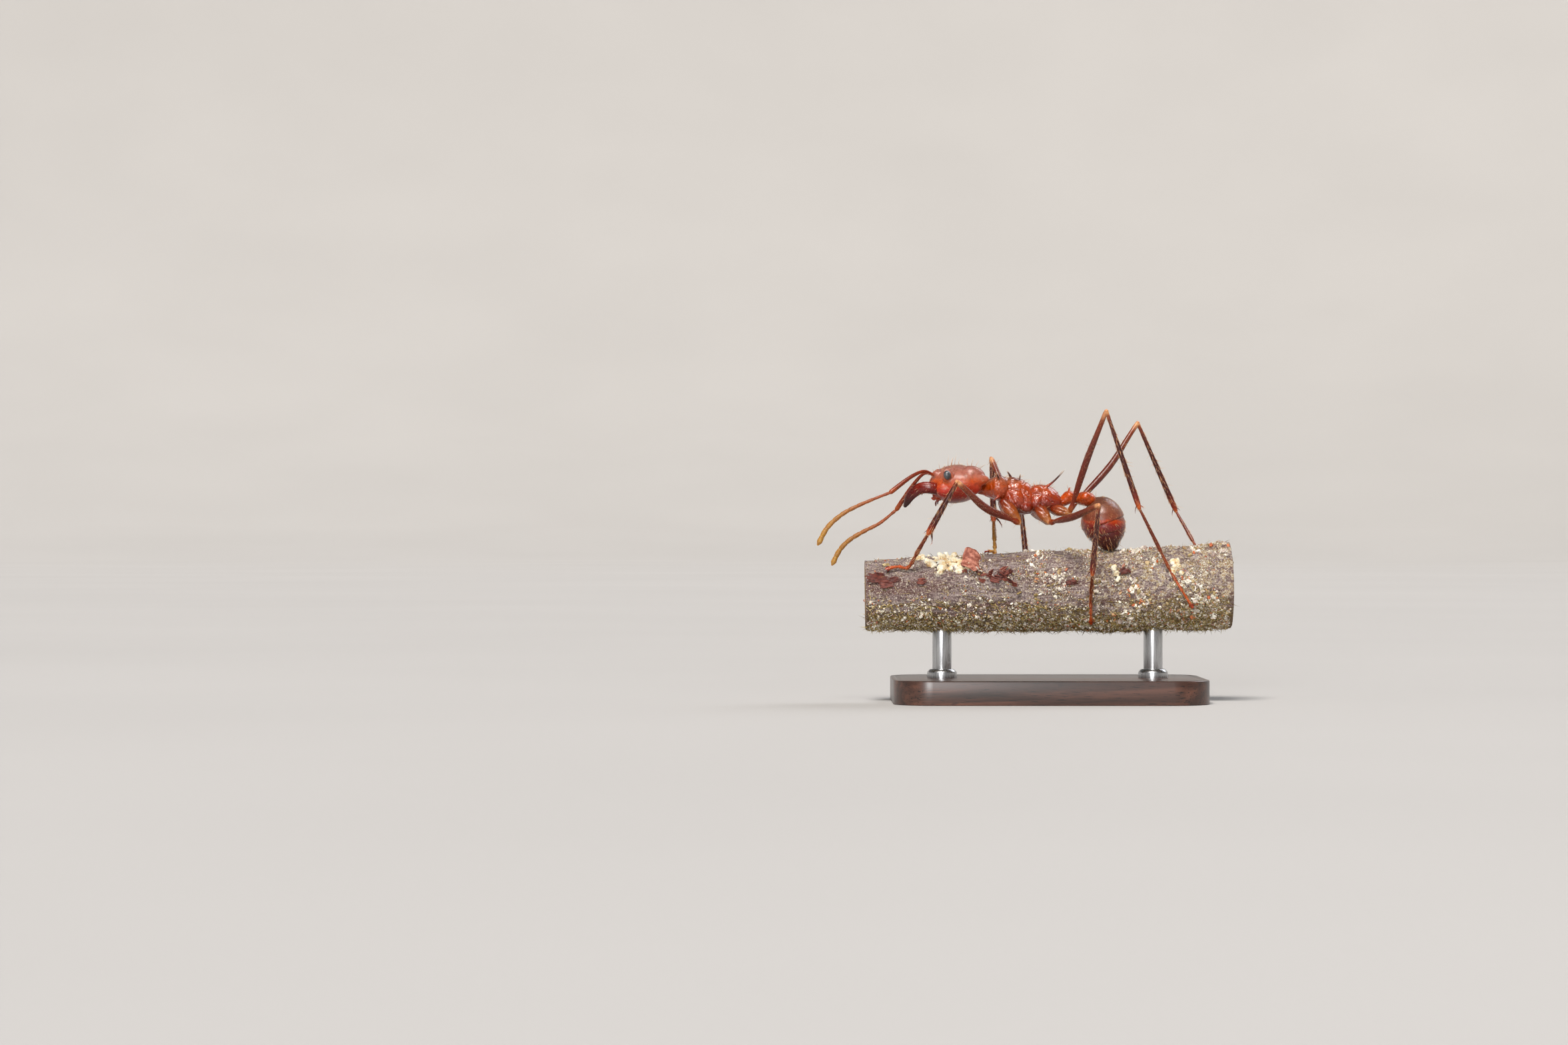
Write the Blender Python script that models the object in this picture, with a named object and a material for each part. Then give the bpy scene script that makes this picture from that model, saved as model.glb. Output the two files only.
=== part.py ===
"""Leafcutter ant worker, life size, walking along a short cut twig on a small display stand.

The ant faces -X and +Z is up, so its left side faces -Y.  The origin is the centre of the stand's
underside.  Lengths and places are in millimetres; MM turns them into metres where a mesh is made.
Each body part is a loft: oval rings strung along a smooth line through a few stations.  Neighbouring
parts are modelled into each other as on the living animal, and the one that would hold the other's end
is then carved clear of it by GAP, so every joint is a fitted socket.
"""

import math

import bmesh
import bpy
from mathutils import Matrix, Vector

MM = 0.001
GAP = 0.04

# The twig: its axis and its radius both rise a little towards +X.
TWIG_HALF = 7.6
TWIG_AXIS_Z = 4.65
TWIG_AXIS_RISE = 0.026
TWIG_RADIUS = 1.6
TWIG_FLARE = 0.022
TWIG_DIP = 0.09
TWIG_DIP_X = 2.6
TWIG_DIP_WIDTH = 1.3
TWIG_RINGS = 11

# The stand.
BASE_SIZE = (13.0, 8.4, 1.0)
BASE_CORNER = 1.6
BASE_CHAMFER = 0.18
ROD_X = 4.4
ROD_DIAMETER = 0.8
ROD_FOOT_Z = 0.5
ROD_SOCKET = 0.6
SOCKET_SLACK = 0.03

# The body.
HEAD_WIDTH = 2.45
THORAX_WIDTH = 1.35
GASTER_WIDTH = 2.05
GASTER_CUTS = (0.54, 0.72, 0.86)
EYE_SIZE = (0.30, 0.30, 0.39)
SPINE_BASE = 0.34
THORN_SINK = 0.14

# The limbs, about LIMB thick all along; JOINT_END is the hidden end that sits in the part before it.
LIMB = 0.5
LIMB_END = 0.45
JOINT_END = 0.36
FOOT_LIFT = LIMB_END / 2 + GAP

# Colour, roughness and metallic value of each material.
FINISHES = {
    "red_brown_chitin": ((0.36, 0.12, 0.06), 0.38, 0),
    "gaster_chitin": ((0.30, 0.12, 0.08), 0.5, 0),
    "leg_chitin": ((0.34, 0.14, 0.09), 0.4, 0),
    "tawny_chitin": ((0.55, 0.27, 0.09), 0.42, 0),
    "dark_chitin": ((0.10, 0.018, 0.012), 0.3, 0),
    "eye_facets": ((0.03, 0.035, 0.045), 0.15, 0),
    "twig_bark": ((0.32, 0.27, 0.24), 0.9, 0),
    "steel_pin": ((0.6, 0.6, 0.62), 0.3, 1),
    "dark_base": ((0.07, 0.04, 0.028), 0.35, 0),
}


# ---------------------------------------------------------------- tools


def make_materials():
    for name, (color, roughness, metallic) in FINISHES.items():
        material = bpy.data.materials.new(name)
        material.use_nodes = True
        shader = material.node_tree.nodes["Principled BSDF"]
        shader.inputs["Base Color"].default_value = (*color, 1.0)
        shader.inputs["Roughness"].default_value = roughness
        shader.inputs["Metallic"].default_value = metallic


def add_object(name, mesh, finish=None):
    piece = bpy.data.objects.new(name, mesh)
    bpy.context.scene.collection.objects.link(piece)
    if finish:
        mesh.materials.append(bpy.data.materials[finish])
    return piece


def finish_mesh(bm, name):
    bmesh.ops.recalc_face_normals(bm, faces=bm.faces)
    for face in bm.faces:
        face.smooth = True
    mesh = bpy.data.meshes.new(name)
    bm.to_mesh(mesh)
    bm.free()
    mesh.set_sharp_from_angle(angle=math.radians(45))
    return mesh


def smooth_line(stations, per_span):
    """Catmull-Rom through the stations, each (x, y, z, width, depth)."""
    line = [Vector(s) for s in stations]
    line = [2 * line[0] - line[1], *line, 2 * line[-1] - line[-2]]
    points = []
    for i in range(1, len(line) - 2):
        a, b, c, d = line[i - 1 : i + 3]
        for k in range(per_span):
            t = k / per_span
            points.append(
                0.5 * (2 * b + (c - a) * t + (2 * a - 5 * b + 4 * c - d) * t**2
                       + (3 * b - a - 3 * c + d) * t**3)
            )
    points.append(line[-2])
    return points


def ring(bm, centre, across, along_depth, width, depth, sides):
    verts = []
    for k in range(sides):
        turn = 2 * math.pi * (k + 0.5) / sides
        offset = across * (math.cos(turn) * width / 2) + along_depth * (math.sin(turn) * depth / 2)
        verts.append(bm.verts.new((centre + offset) * MM))
    return verts


def loft(name, stations, sides, per_span, domes, reference=(0, 1, 0), dome_rings=(35, 65), shape=None):
    """A closed tube of oval rings.  Width is measured along the reference direction, depth square to it.
    domes is how far each end bulges, as a share of its mean radius; 0 leaves that end flat."""
    line = smooth_line(stations, per_span)
    centres = [Vector(p[:3]) for p in line]
    rings = []
    for i, p in enumerate(line):
        ahead = centres[min(i + 1, len(line) - 1)] - centres[max(i - 1, 0)]
        tangent = ahead.normalized()
        across = (Vector(reference) - tangent * tangent.dot(Vector(reference))).normalized()
        rings.append((centres[i], tangent, across, p[3], p[4]))
    for end, dome in ((0, domes[0]), (-1, domes[1])):
        centre, tangent, across, width, depth = rings[end]
        outward = tangent if end else -tangent
        for angle in dome_rings if dome else ():
            share = math.cos(math.radians(angle))
            move = outward * (dome * (width + depth) / 4 * math.sin(math.radians(angle)))
            smaller = (centre + move, tangent, across, width * share, depth * share)
            rings.insert(len(rings) if end else 0, smaller)
    bm = bmesh.new()
    loops = []
    for centre, tangent, across, width, depth in rings:
        loops.append(ring(bm, centre, across, tangent.cross(across), width, depth, sides))
    for below, above in zip(loops, loops[1:]):
        for k in range(sides):
            bm.faces.new((below[k], below[(k + 1) % sides], above[(k + 1) % sides], above[k]))
    bm.faces.new(loops[0][::-1])
    bm.faces.new(loops[-1])
    if shape:
        for vert in bm.verts:
            vert.co = shape(vert.co / MM) * MM
    return finish_mesh(bm, name)


def cone(name, base, tip, thickness, sides=6):
    """A thorn from base to tip, blunt by a seventh of its foot and sunk a little below its base."""
    base = Vector(base) - (Vector(tip) - Vector(base)).normalized() * THORN_SINK
    way = Vector(tip) - base
    bm = bmesh.new()
    place = Matrix.Translation((base + way / 2) * MM) @ way.to_track_quat("Z", "Y").to_matrix().to_4x4()
    bmesh.ops.create_cone(
        bm, cap_ends=True, segments=sides, radius1=thickness / 2 * MM, radius2=thickness / 14 * MM,
        depth=way.length * MM, matrix=place,
    )
    return finish_mesh(bm, name)


def ball(name, centre, size, tilt, segments=10, rings=6):
    """An ellipsoid of the given size, tilted about Y."""
    bm = bmesh.new()
    bmesh.ops.create_uvsphere(bm, u_segments=segments, v_segments=rings, radius=0.5 * MM)
    bmesh.ops.scale(bm, vec=size, verts=bm.verts)
    place = Matrix.Translation(Vector(centre) * MM) @ Matrix.Rotation(math.radians(tilt), 4, "Y")
    bmesh.ops.transform(bm, matrix=place, verts=bm.verts)
    return finish_mesh(bm, name)


def helper(name, mesh):
    """A cutter or a joined shape: never a part of its own."""
    piece = add_object(name, mesh)
    piece.hide_render = True
    piece.display_type = "WIRE"
    return piece


def boolean(piece, other, operation):
    modifier = piece.modifiers.new(f"{operation.lower()} {other.name}", "BOOLEAN")
    modifier.object = other
    modifier.operation = operation
    modifier.solver = "EXACT"


def join(piece, *meshes):
    for mesh in meshes:
        boolean(piece, helper(mesh.name, mesh), "UNION")


def swollen(piece, by):
    """The piece's own form, grown by a little all round, to cut with."""
    bm = bmesh.new()
    bm.from_mesh(piece.data)
    bm.normal_update()
    for vert in bm.verts:
        vert.co += vert.normal * by * MM
    mesh = bpy.data.meshes.new(f"clear_{piece.name}")
    bm.to_mesh(mesh)
    bm.free()
    return helper(mesh.name, mesh)


CUTTERS = {}


def carve(piece, *neighbours):
    """Cuts the piece clear of its neighbours by GAP."""
    for other in neighbours:
        if other.name not in CUTTERS:
            CUTTERS[other.name] = swollen(other, GAP)
        boolean(piece, CUTTERS[other.name], "DIFFERENCE")


# ---------------------------------------------------------------- twig and stand


def twig_centre(x):
    dip = TWIG_DIP * math.exp(-(((x - TWIG_DIP_X) / TWIG_DIP_WIDTH) ** 2))
    return Vector((x, 0, TWIG_AXIS_Z + TWIG_AXIS_RISE * x - dip))


def twig_radius(x):
    return TWIG_RADIUS + TWIG_FLARE * x


def on_twig(x, degrees, lift=FOOT_LIFT):
    """A point over the bark, this far round from the crest towards the near side, lifted off the bark."""
    turn = math.radians(degrees)
    reach = twig_radius(x) + lift
    return twig_centre(x) + Vector((0, -math.sin(turn) * reach, math.cos(turn) * reach))


def make_twig():
    def weathered(p):
        turn = math.atan2(p.y, p.z - twig_centre(p.x).z)
        swell = 1 + 0.018 * math.sin(3 * turn + 0.9 * p.x) + 0.014 * math.sin(2 * turn - 0.6 * p.x + 1)
        return twig_centre(p.x) + (p - twig_centre(p.x)) * swell

    stations = []
    for i in range(TWIG_RINGS):
        x = -TWIG_HALF + 2 * TWIG_HALF * i / (TWIG_RINGS - 1)
        stations.append((*twig_centre(x), 2 * twig_radius(x), 2 * twig_radius(x)))
    return add_object("twig", loft("twig", stations, 14, 1, (0, 0), shape=weathered), "twig_bark")


def rod_mesh(name, x, foot, top, diameter):
    bm = bmesh.new()
    bmesh.ops.create_cone(
        bm, cap_ends=True, segments=16, radius1=diameter / 2 * MM, radius2=diameter / 2 * MM,
        depth=(top - foot) * MM, matrix=Matrix.Translation((x * MM, 0, (foot + top) / 2 * MM)),
    )
    return finish_mesh(bm, name)


def make_stand(twig):
    length, width, height = BASE_SIZE
    bm = bmesh.new()
    corners = []
    for sx, sy, start in ((1, 1, 0), (-1, 1, 90), (-1, -1, 180), (1, -1, 270)):
        for k in range(5):
            turn = math.radians(start + 90 * k / 4)
            corners.append(bm.verts.new((
                (sx * (length / 2 - BASE_CORNER) + BASE_CORNER * math.cos(turn)) * MM,
                (sy * (width / 2 - BASE_CORNER) + BASE_CORNER * math.sin(turn)) * MM,
                0,
            )))
    foot = bm.faces.new(corners)
    walls = bmesh.ops.extrude_face_region(bm, geom=[foot])
    top = [g for g in walls["geom"] if isinstance(g, bmesh.types.BMVert)]
    bmesh.ops.translate(bm, vec=(0, 0, height * MM), verts=top)
    rim = [e for e in bm.edges if all(v in top for v in e.verts)]
    bmesh.ops.bevel(bm, geom=rim, offset=BASE_CHAMFER * MM, segments=1, affect="EDGES")
    base = add_object("stand_base", finish_mesh(bm, "stand_base"), "dark_base")
    for side, x in (("left", -ROD_X), ("right", ROD_X)):
        top = twig_centre(x).z - twig_radius(x) + ROD_SOCKET
        name = f"stand_rod_{side}"
        add_object(name, rod_mesh(name, x, ROD_FOOT_Z, top, ROD_DIAMETER), "steel_pin")
        hole = helper(f"hole_{side}", rod_mesh(
            f"hole_{side}", x, ROD_FOOT_Z - SOCKET_SLACK, top + SOCKET_SLACK, ROD_DIAMETER + 2 * SOCKET_SLACK
        ))
        boolean(base, hole, "DIFFERENCE")
        boolean(twig, hole, "DIFFERENCE")


# ---------------------------------------------------------------- head


def heart(p):
    """Draws the back of the head in between its two lobes, and flattens the face a little."""
    back = min(max((p.x + 3.5) / 0.9, 0.0), 1.0)
    notch = 0.6 * back**2 * math.exp(-((p.y / 0.42) ** 2))
    return Vector((p.x - notch, p.y, p.z))


def make_head():
    w = HEAD_WIDTH
    head = add_object("head", loft("head", [
        (-2.68, 0, 9.20, 0.62 * w, 0.50),
        (-2.90, 0, 9.17, 0.86 * w, 0.98),
        (-3.25, 0, 9.13, 1.00 * w, 1.46),
        (-3.70, 0, 9.10, 0.99 * w, 1.67),
        (-4.15, 0, 9.04, 0.90 * w, 1.62),
        (-4.45, 0, 9.02, 0.76 * w, 1.35),
        (-4.66, 0, 8.98, 0.58 * w, 0.98),
    ], 14, 2, (0.55, 0.45), shape=heart), "red_brown_chitin")
    for side in (-1, 1):
        tag = "left" if side < 0 else "right"
        join(
            head,
            ball(f"frontal_lobe_{tag}", (-4.55, side * 0.42, 9.42), (0.62, 0.42, 0.4), 25),
            cone(f"occipital_spine_{tag}", (-2.84, side * 0.84, 9.30), (-2.50, side * 0.96, 9.42), 0.3),
            cone(f"brow_spine_{tag}", (-4.30, side * 0.70, 9.62), (-4.36, side * 0.80, 9.92), 0.26),
        )
        facets = ball(f"eye_{tag}", (-4.22, side * 1.10, 9.43), EYE_SIZE, -12)
        eye = add_object(f"eye_{tag}", facets, "eye_facets")
        jaw = add_object(f"mandible_{tag}", loft(f"mandible_{tag}", [
            (-4.52, side * 0.62, 8.78, 0.50, 0.66),
            (-4.95, side * 0.72, 8.86, 0.50, 0.68),
            (-5.35, side * 0.62, 8.76, 0.50, 0.66),
            (-5.68, side * 0.46, 8.50, 0.48, 0.58),
            (-5.92, side * 0.34, 8.16, 0.44, 0.40),
        ], 8, 2, (0.8, 0.9), dome_rings=(50,)), "dark_chitin")
        carve(head, eye, jaw)
    return head


def make_antennae(head):
    elbows = {"left": (-6.59, -1.30, 8.71), "right": (-6.27, 1.30, 8.00)}
    scapes = {
        "left": [(-4.74, -0.42, 9.48), (-5.08, -0.60, 9.60), (-5.41, -0.78, 9.53), (-5.86, -1.00, 9.27)],
        "right": [(-4.74, 0.42, 9.48), (-5.04, 0.66, 9.54), (-5.32, 0.86, 9.36), (-5.72, 1.06, 8.84)],
    }
    whips = {
        "left": [(-7.28, -1.38, 8.44), (-8.00, -1.46, 8.13), (-8.63, -1.52, 7.78), (-9.20, -1.56, 7.25),
                 (-9.58, -1.58, 6.56)],
        "right": [(-6.97, 1.38, 7.44), (-7.61, 1.44, 7.11), (-8.23, 1.48, 6.74), (-8.65, 1.52, 6.30),
                  (-8.96, 1.54, 5.70)],
    }
    for tag in ("left", "right"):
        stations = [(*p, LIMB_END, LIMB_END) for p in scapes[tag]] + [(*elbows[tag], LIMB, LIMB)]
        mesh = loft(f"scape_{tag}", stations, 8, 2, (0.6, 0.8), dome_rings=(50,))
        scape = add_object(f"scape_{tag}", mesh, "red_brown_chitin")
        stations = [(*elbows[tag], LIMB_END, LIMB_END)] + [(*p, LIMB_END, LIMB_END) for p in whips[tag][:3]]
        stations += [(*p, LIMB, LIMB) for p in whips[tag][3:]]
        mesh = loft(f"funiculus_{tag}", stations, 8, 2, (0.5, 1.0), dome_rings=(50,))
        whip = add_object(f"funiculus_{tag}", mesh, "tawny_chitin")
        carve(head, scape)
        carve(whip, scape)


# ---------------------------------------------------------------- trunk


def thorn_pair(owner, name, base, tip, thickness):
    """A spine on each side; base and tip are given for the right side."""
    for side in (-1, 1):
        tag = "left" if side < 0 else "right"
        join(owner, cone(
            f"{name}_{tag}", (base[0], side * base[1], base[2]), (tip[0], side * tip[1], tip[2]), thickness
        ))


def make_trunk(head):
    w = THORAX_WIDTH
    pronotum = add_object("pronotum", loft("pronotum", [
        (-2.82, 0, 8.86, 0.50, 0.52),
        (-2.45, 0, 8.88, 0.95, 0.80),
        (-2.12, 0, 8.92, 1.05 * w, 1.02),
        (-1.92, 0, 8.87, 1.02 * w, 1.10),
        (-1.78, 0, 8.82, 0.88 * w, 1.06),
    ], 12, 2, (0.4, 0.3)), "red_brown_chitin")
    thorn_pair(pronotum, "shoulder_spine", (-2.02, 0.48, 9.10), (-2.16, 0.95, 9.52), SPINE_BASE)

    mesothorax = add_object("mesothorax", loft("mesothorax", [
        (-1.84, 0, 8.86, 0.66 * w, 0.94),
        (-1.50, 0, 8.70, 0.86 * w, 1.42),
        (-1.15, 0, 8.52, 0.92 * w, 1.46),
        (-0.86, 0, 8.38, 0.86 * w, 1.26),
        (-0.64, 0, 8.34, 0.76 * w, 1.12),
    ], 12, 2, (0, 0.4)), "red_brown_chitin")
    thorn_pair(mesothorax, "front_ridge_spine", (-1.52, 0.26, 9.32), (-1.70, 0.34, 9.62), SPINE_BASE)
    thorn_pair(mesothorax, "rear_ridge_spine", (-1.20, 0.24, 9.16), (-1.12, 0.32, 9.50), SPINE_BASE * 0.8)

    propodeum = add_object("propodeum", loft("propodeum", [
        (-0.80, 0, 8.38, 0.68 * w, 1.06),
        (-0.55, 0, 8.44, 0.82 * w, 1.20),
        (-0.15, 0, 8.46, 0.84 * w, 1.28),
        (0.15, 0, 8.34, 0.78 * w, 1.10),
        (0.40, 0, 8.18, 0.62 * w, 0.74),
    ], 12, 2, (0, 0.4)), "red_brown_chitin")
    thorn_pair(propodeum, "rear_spine", (-0.05, 0.30, 8.96), (0.72, 0.56, 9.70), SPINE_BASE)

    petiole = add_object("petiole", loft("petiole", [
        (0.40, 0, 8.16, 0.46, 0.46),
        (0.64, 0, 8.34, 0.50, 0.46),
        (0.86, 0, 8.54, 0.62, 0.58),
        (1.08, 0, 8.50, 0.56, 0.52),
        (1.24, 0, 8.44, 0.46, 0.44),
    ], 10, 1, (0.4, 0.4)), "red_brown_chitin")
    thorn_pair(petiole, "node_tooth", (0.88, 0.16, 8.76), (0.94, 0.24, 8.98), 0.22)

    postpetiole = add_object("postpetiole", loft("postpetiole", [
        (1.20, 0, 8.44, 0.50, 0.46),
        (1.42, 0, 8.47, 0.82, 0.58),
        (1.64, 0, 8.46, 0.98, 0.62),
        (1.86, 0, 8.38, 0.90, 0.58),
    ], 12, 2, (0.4, 0.5)), "red_brown_chitin")

    carve(pronotum, head)
    carve(mesothorax, pronotum)
    carve(propodeum, mesothorax, petiole)
    carve(postpetiole, petiole)
    return pronotum, mesothorax, propodeum, postpetiole


def make_gaster(postpetiole):
    """The whole hind body as one line of rings, parted by thin cuts into its four segments."""
    w = GASTER_WIDTH
    line = smooth_line([
        (1.86, 0, 8.36, 0.52, 0.50),
        (1.97, 0, 8.22, 0.66 * w, 1.18),
        (2.14, 0, 7.92, 0.92 * w, 1.66),
        (2.30, 0, 7.54, 1.00 * w, 1.84),
        (2.44, 0, 7.14, 0.96 * w, 1.72),
        (2.53, 0, 6.80, 0.78 * w, 1.36),
        (2.58, 0, 6.56, 0.52 * w, 0.86),
    ], 3)
    cuts = [0, *(round(c * (len(line) - 1)) for c in GASTER_CUTS), len(line) - 1]
    segments = []
    for i in range(4):
        stations = [Vector(p) for p in line[cuts[i] : cuts[i + 1] + 1]]
        if i < 3:
            back = (stations[-2] - stations[-1]).normalized()
            stations[-1] = stations[-1] + back * GAP
        domes = (0.3 if i == 0 else 0, 0.55 if i == 3 else 0)
        name = f"gaster_segment_{i + 1}"
        segments.append(add_object(name, loft(name, stations, 16, 1, domes), "gaster_chitin"))
    carve(postpetiole, segments[0])


# ---------------------------------------------------------------- legs


def limb(name, points, finish, thickness, per_span=2):
    """A leg part through these points; thickness has one value for each."""
    stations = [(*p, t, t) for p, t in zip(points, thickness)]
    return add_object(name, loft(name, stations, 8, per_span, (0.9, 0.9), (1, 0.2, 0), (50,)), finish)


def between(a, b, share):
    return Vector(a).lerp(Vector(b), share)


def make_leg(name, root, hip, coxa_size, thigh, knee, ankle, foot):
    """A leg from the body out: coxa from root to hip, femur by way of the thigh, tibia, then tarsus."""
    coxa = limb(
        f"{name}_coxa", [root, between(root, hip, 0.45), between(root, hip, 0.9)], "leg_chitin",
        (coxa_size * 0.85, coxa_size, coxa_size * 0.68),
    )
    femur = limb(
        f"{name}_femur", [hip, between(hip, thigh, 0.3), thigh, between(thigh, knee, 0.7), knee],
        "leg_chitin",
        (LIMB * 0.95, LIMB_END, LIMB * 1.06, LIMB * 0.98, LIMB_END),
    )
    tibia = limb(
        f"{name}_tibia", [knee, *(between(knee, ankle, s) for s in (0.15, 0.6)), ankle], "leg_chitin",
        (JOINT_END, LIMB_END, LIMB, LIMB * 0.98), 1,
    )
    tarsus = limb(
        f"{name}_tarsus", [ankle, between(ankle, foot[0], 0.5), *foot], "tawny_chitin",
        [JOINT_END] + [LIMB_END] * (1 + len(foot)),
    )
    carve(coxa, femur)
    carve(tibia, femur)
    carve(tarsus, tibia)
    return coxa, tarsus


def make_legs(twig, pronotum, mesothorax, propodeum):
    """Root, hip and coxa size for each pair of legs, then thigh, knee, ankle and foot for each leg."""
    hips = {
        "front": ((-1.86, 0.42, 8.34), (-1.22, 0.72, 7.46), 0.66),
        "middle": ((-0.42, 0.40, 8.10), (0.05, 0.76, 7.46), 0.60),
        "hind": ((0.22, 0.38, 8.02), (0.88, 0.72, 7.88), 0.54),
    }
    pose = {
        "left_front": ((-2.65, -1.60, 8.07), (-3.86, -2.30, 9.15), (-5.04, -1.95, 7.01),
                       [on_twig(-5.82, 46), on_twig(-6.24, 44), on_twig(-6.60, 46)]),
        "right_front": ((-1.76, 1.70, 8.92), (-2.22, 2.50, 10.18), (-2.15, 1.95, 7.54),
                        [on_twig(-2.16, -22), on_twig(-2.26, -10), on_twig(-2.46, -4)]),
        "left_middle": ((0.95, -2.40, 7.72), (1.85, -4.00, 8.18), (1.66, -2.95, 5.34),
                        [on_twig(1.68, 104), on_twig(1.70, 119), on_twig(1.72, 134)]),
        "right_middle": ((-0.44, 2.50, 7.90), (-0.94, 4.05, 8.62), (-0.69, 3.05, 5.61),
                         [on_twig(-0.66, -100), on_twig(-0.66, -115), on_twig(-0.68, -130)]),
        "left_hind": ((1.50, -1.80, 10.00), (2.25, -2.70, 12.06), (3.65, -2.25, 8.05),
                      [on_twig(5.00, 70), on_twig(5.40, 92), on_twig(5.80, 112)]),
        "right_hind": ((2.68, 1.50, 9.80), (3.94, 2.25, 11.68), (5.61, 2.80, 7.95),
                       [on_twig(6.60, -52), on_twig(6.86, -66), on_twig(7.06, -82)]),
    }
    plates = {"front": (pronotum, mesothorax), "middle": (mesothorax, propodeum), "hind": (propodeum,)}
    for name, (thigh, knee, ankle, foot) in pose.items():
        tag, pair = name.split("_")
        side = -1 if tag == "left" else 1
        root, hip, size = hips[pair]
        root, hip = ((x, side * y, z) for x, y, z in (root, hip))
        coxa, tarsus = make_leg(name, root, hip, size, thigh, knee, ankle, foot)
        carve(tarsus, twig)
        for plate in plates[pair]:
            carve(plate, coxa)


# ---------------------------------------------------------------- the whole


def clear_scene():
    for piece in list(bpy.data.objects):
        bpy.data.objects.remove(piece)


def main():
    clear_scene()
    make_materials()
    twig = make_twig()
    make_stand(twig)
    head = make_head()
    make_antennae(head)
    pronotum, mesothorax, propodeum, postpetiole = make_trunk(head)
    make_gaster(postpetiole)
    make_legs(twig, pronotum, mesothorax, propodeum)


main()
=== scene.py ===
"""The looks of a leafcutter ant worker on a cut twig, held up by a small display stand.

The ant faces -X, its left side faces -Y, and +Z is up.  Every piece is modelled at one unit to a millimetre,
in its own place, and `finished` then brings its mesh to metres.
"""

import math
from contextlib import contextmanager

import bpy
import numpy as np
from mathutils import Matrix, Vector, noise
from mathutils.bvhtree import BVHTree


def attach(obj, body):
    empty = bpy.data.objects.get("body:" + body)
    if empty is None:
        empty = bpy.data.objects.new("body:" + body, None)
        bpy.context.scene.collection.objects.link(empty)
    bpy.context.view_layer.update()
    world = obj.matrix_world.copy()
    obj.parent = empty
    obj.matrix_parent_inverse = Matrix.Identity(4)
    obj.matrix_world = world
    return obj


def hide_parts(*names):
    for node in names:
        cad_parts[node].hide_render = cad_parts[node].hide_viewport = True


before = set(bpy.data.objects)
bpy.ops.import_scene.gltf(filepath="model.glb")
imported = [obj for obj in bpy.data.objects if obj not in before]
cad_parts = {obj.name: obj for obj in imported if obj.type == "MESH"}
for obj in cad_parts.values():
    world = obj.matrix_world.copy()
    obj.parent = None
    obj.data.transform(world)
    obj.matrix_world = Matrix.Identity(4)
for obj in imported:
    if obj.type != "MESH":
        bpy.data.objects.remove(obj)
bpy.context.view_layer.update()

METRE = 1000.0
SIDES = {"left": -1, "right": 1}

# ---------------------------------------------------------------- the ant's measures, in millimetres

HEAD_WIDTH = 2.45
THORAX_WIDTH = 1.35
GASTER_WIDTH = 2.05
EYE_PLACE = (-4.22, 1.10, 9.43)
EYE_SIZE = (0.30, 0.30, 0.39)

# The body from front to back: the rings that each part is drawn out through, as (x, z, width, depth).
HEAD_RINGS = [
    (-2.68, 9.20, 0.62 * HEAD_WIDTH, 0.50), (-2.90, 9.17, 0.86 * HEAD_WIDTH, 0.98),
    (-3.25, 9.13, 1.00 * HEAD_WIDTH, 1.46), (-3.70, 9.10, 0.99 * HEAD_WIDTH, 1.67),
    (-4.15, 9.04, 0.90 * HEAD_WIDTH, 1.62), (-4.45, 9.02, 0.76 * HEAD_WIDTH, 1.35),
    (-4.66, 8.98, 0.58 * HEAD_WIDTH, 0.98),
]
PRONOTUM_RINGS = [
    (-3.34, 8.94, 0.34, 0.32), (-3.00, 8.88, 0.36, 0.36), (-2.82, 8.86, 0.42, 0.44),
    (-2.64, 8.86, 0.56, 0.54), (-2.45, 8.88, 0.92, 0.80), (-2.12, 8.92, 1.05 * THORAX_WIDTH, 1.04),
    (-1.92, 8.87, 1.02 * THORAX_WIDTH, 1.10), (-1.74, 8.81, 0.86 * THORAX_WIDTH, 1.02),
]
MESOTHORAX_RINGS = [
    (-1.84, 8.84, 0.66 * THORAX_WIDTH, 0.94), (-1.62, 8.74, 0.84 * THORAX_WIDTH, 1.34),
    (-1.40, 8.66, 0.90 * THORAX_WIDTH, 1.46), (-1.15, 8.52, 0.92 * THORAX_WIDTH, 1.46),
    (-0.86, 8.38, 0.86 * THORAX_WIDTH, 1.26), (-0.64, 8.34, 0.76 * THORAX_WIDTH, 1.08),
]
PROPODEUM_RINGS = [
    (-0.80, 8.38, 0.68 * THORAX_WIDTH, 1.00), (-0.55, 8.44, 0.82 * THORAX_WIDTH, 1.22),
    (-0.15, 8.46, 0.84 * THORAX_WIDTH, 1.28), (0.15, 8.34, 0.78 * THORAX_WIDTH, 1.10),
    (0.40, 8.18, 0.60 * THORAX_WIDTH, 0.70),
]
PETIOLE_RINGS = [
    (0.36, 8.14, 0.34, 0.34), (0.50, 8.24, 0.40, 0.36), (0.70, 8.38, 0.50, 0.46), (0.86, 8.54, 0.62, 0.62),
    (1.02, 8.51, 0.58, 0.56), (1.14, 8.46, 0.44, 0.42), (1.26, 8.43, 0.36, 0.34),
]
POSTPETIOLE_RINGS = [
    (1.18, 8.43, 0.38, 0.36), (1.30, 8.45, 0.62, 0.50), (1.46, 8.48, 0.88, 0.62), (1.64, 8.46, 0.98, 0.64),
    (1.80, 8.40, 0.92, 0.58), (1.90, 8.35, 0.70, 0.46),
]
GASTER_RINGS = [
    (1.86, 8.36, 0.52, 0.50), (1.97, 8.22, 0.66 * GASTER_WIDTH, 1.18),
    (2.14, 7.92, 0.92 * GASTER_WIDTH, 1.66), (2.30, 7.54, 1.00 * GASTER_WIDTH, 1.84),
    (2.44, 7.14, 0.96 * GASTER_WIDTH, 1.72), (2.53, 6.80, 0.78 * GASTER_WIDTH, 1.36),
    (2.58, 6.56, 0.52 * GASTER_WIDTH, 0.86),
]
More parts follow.
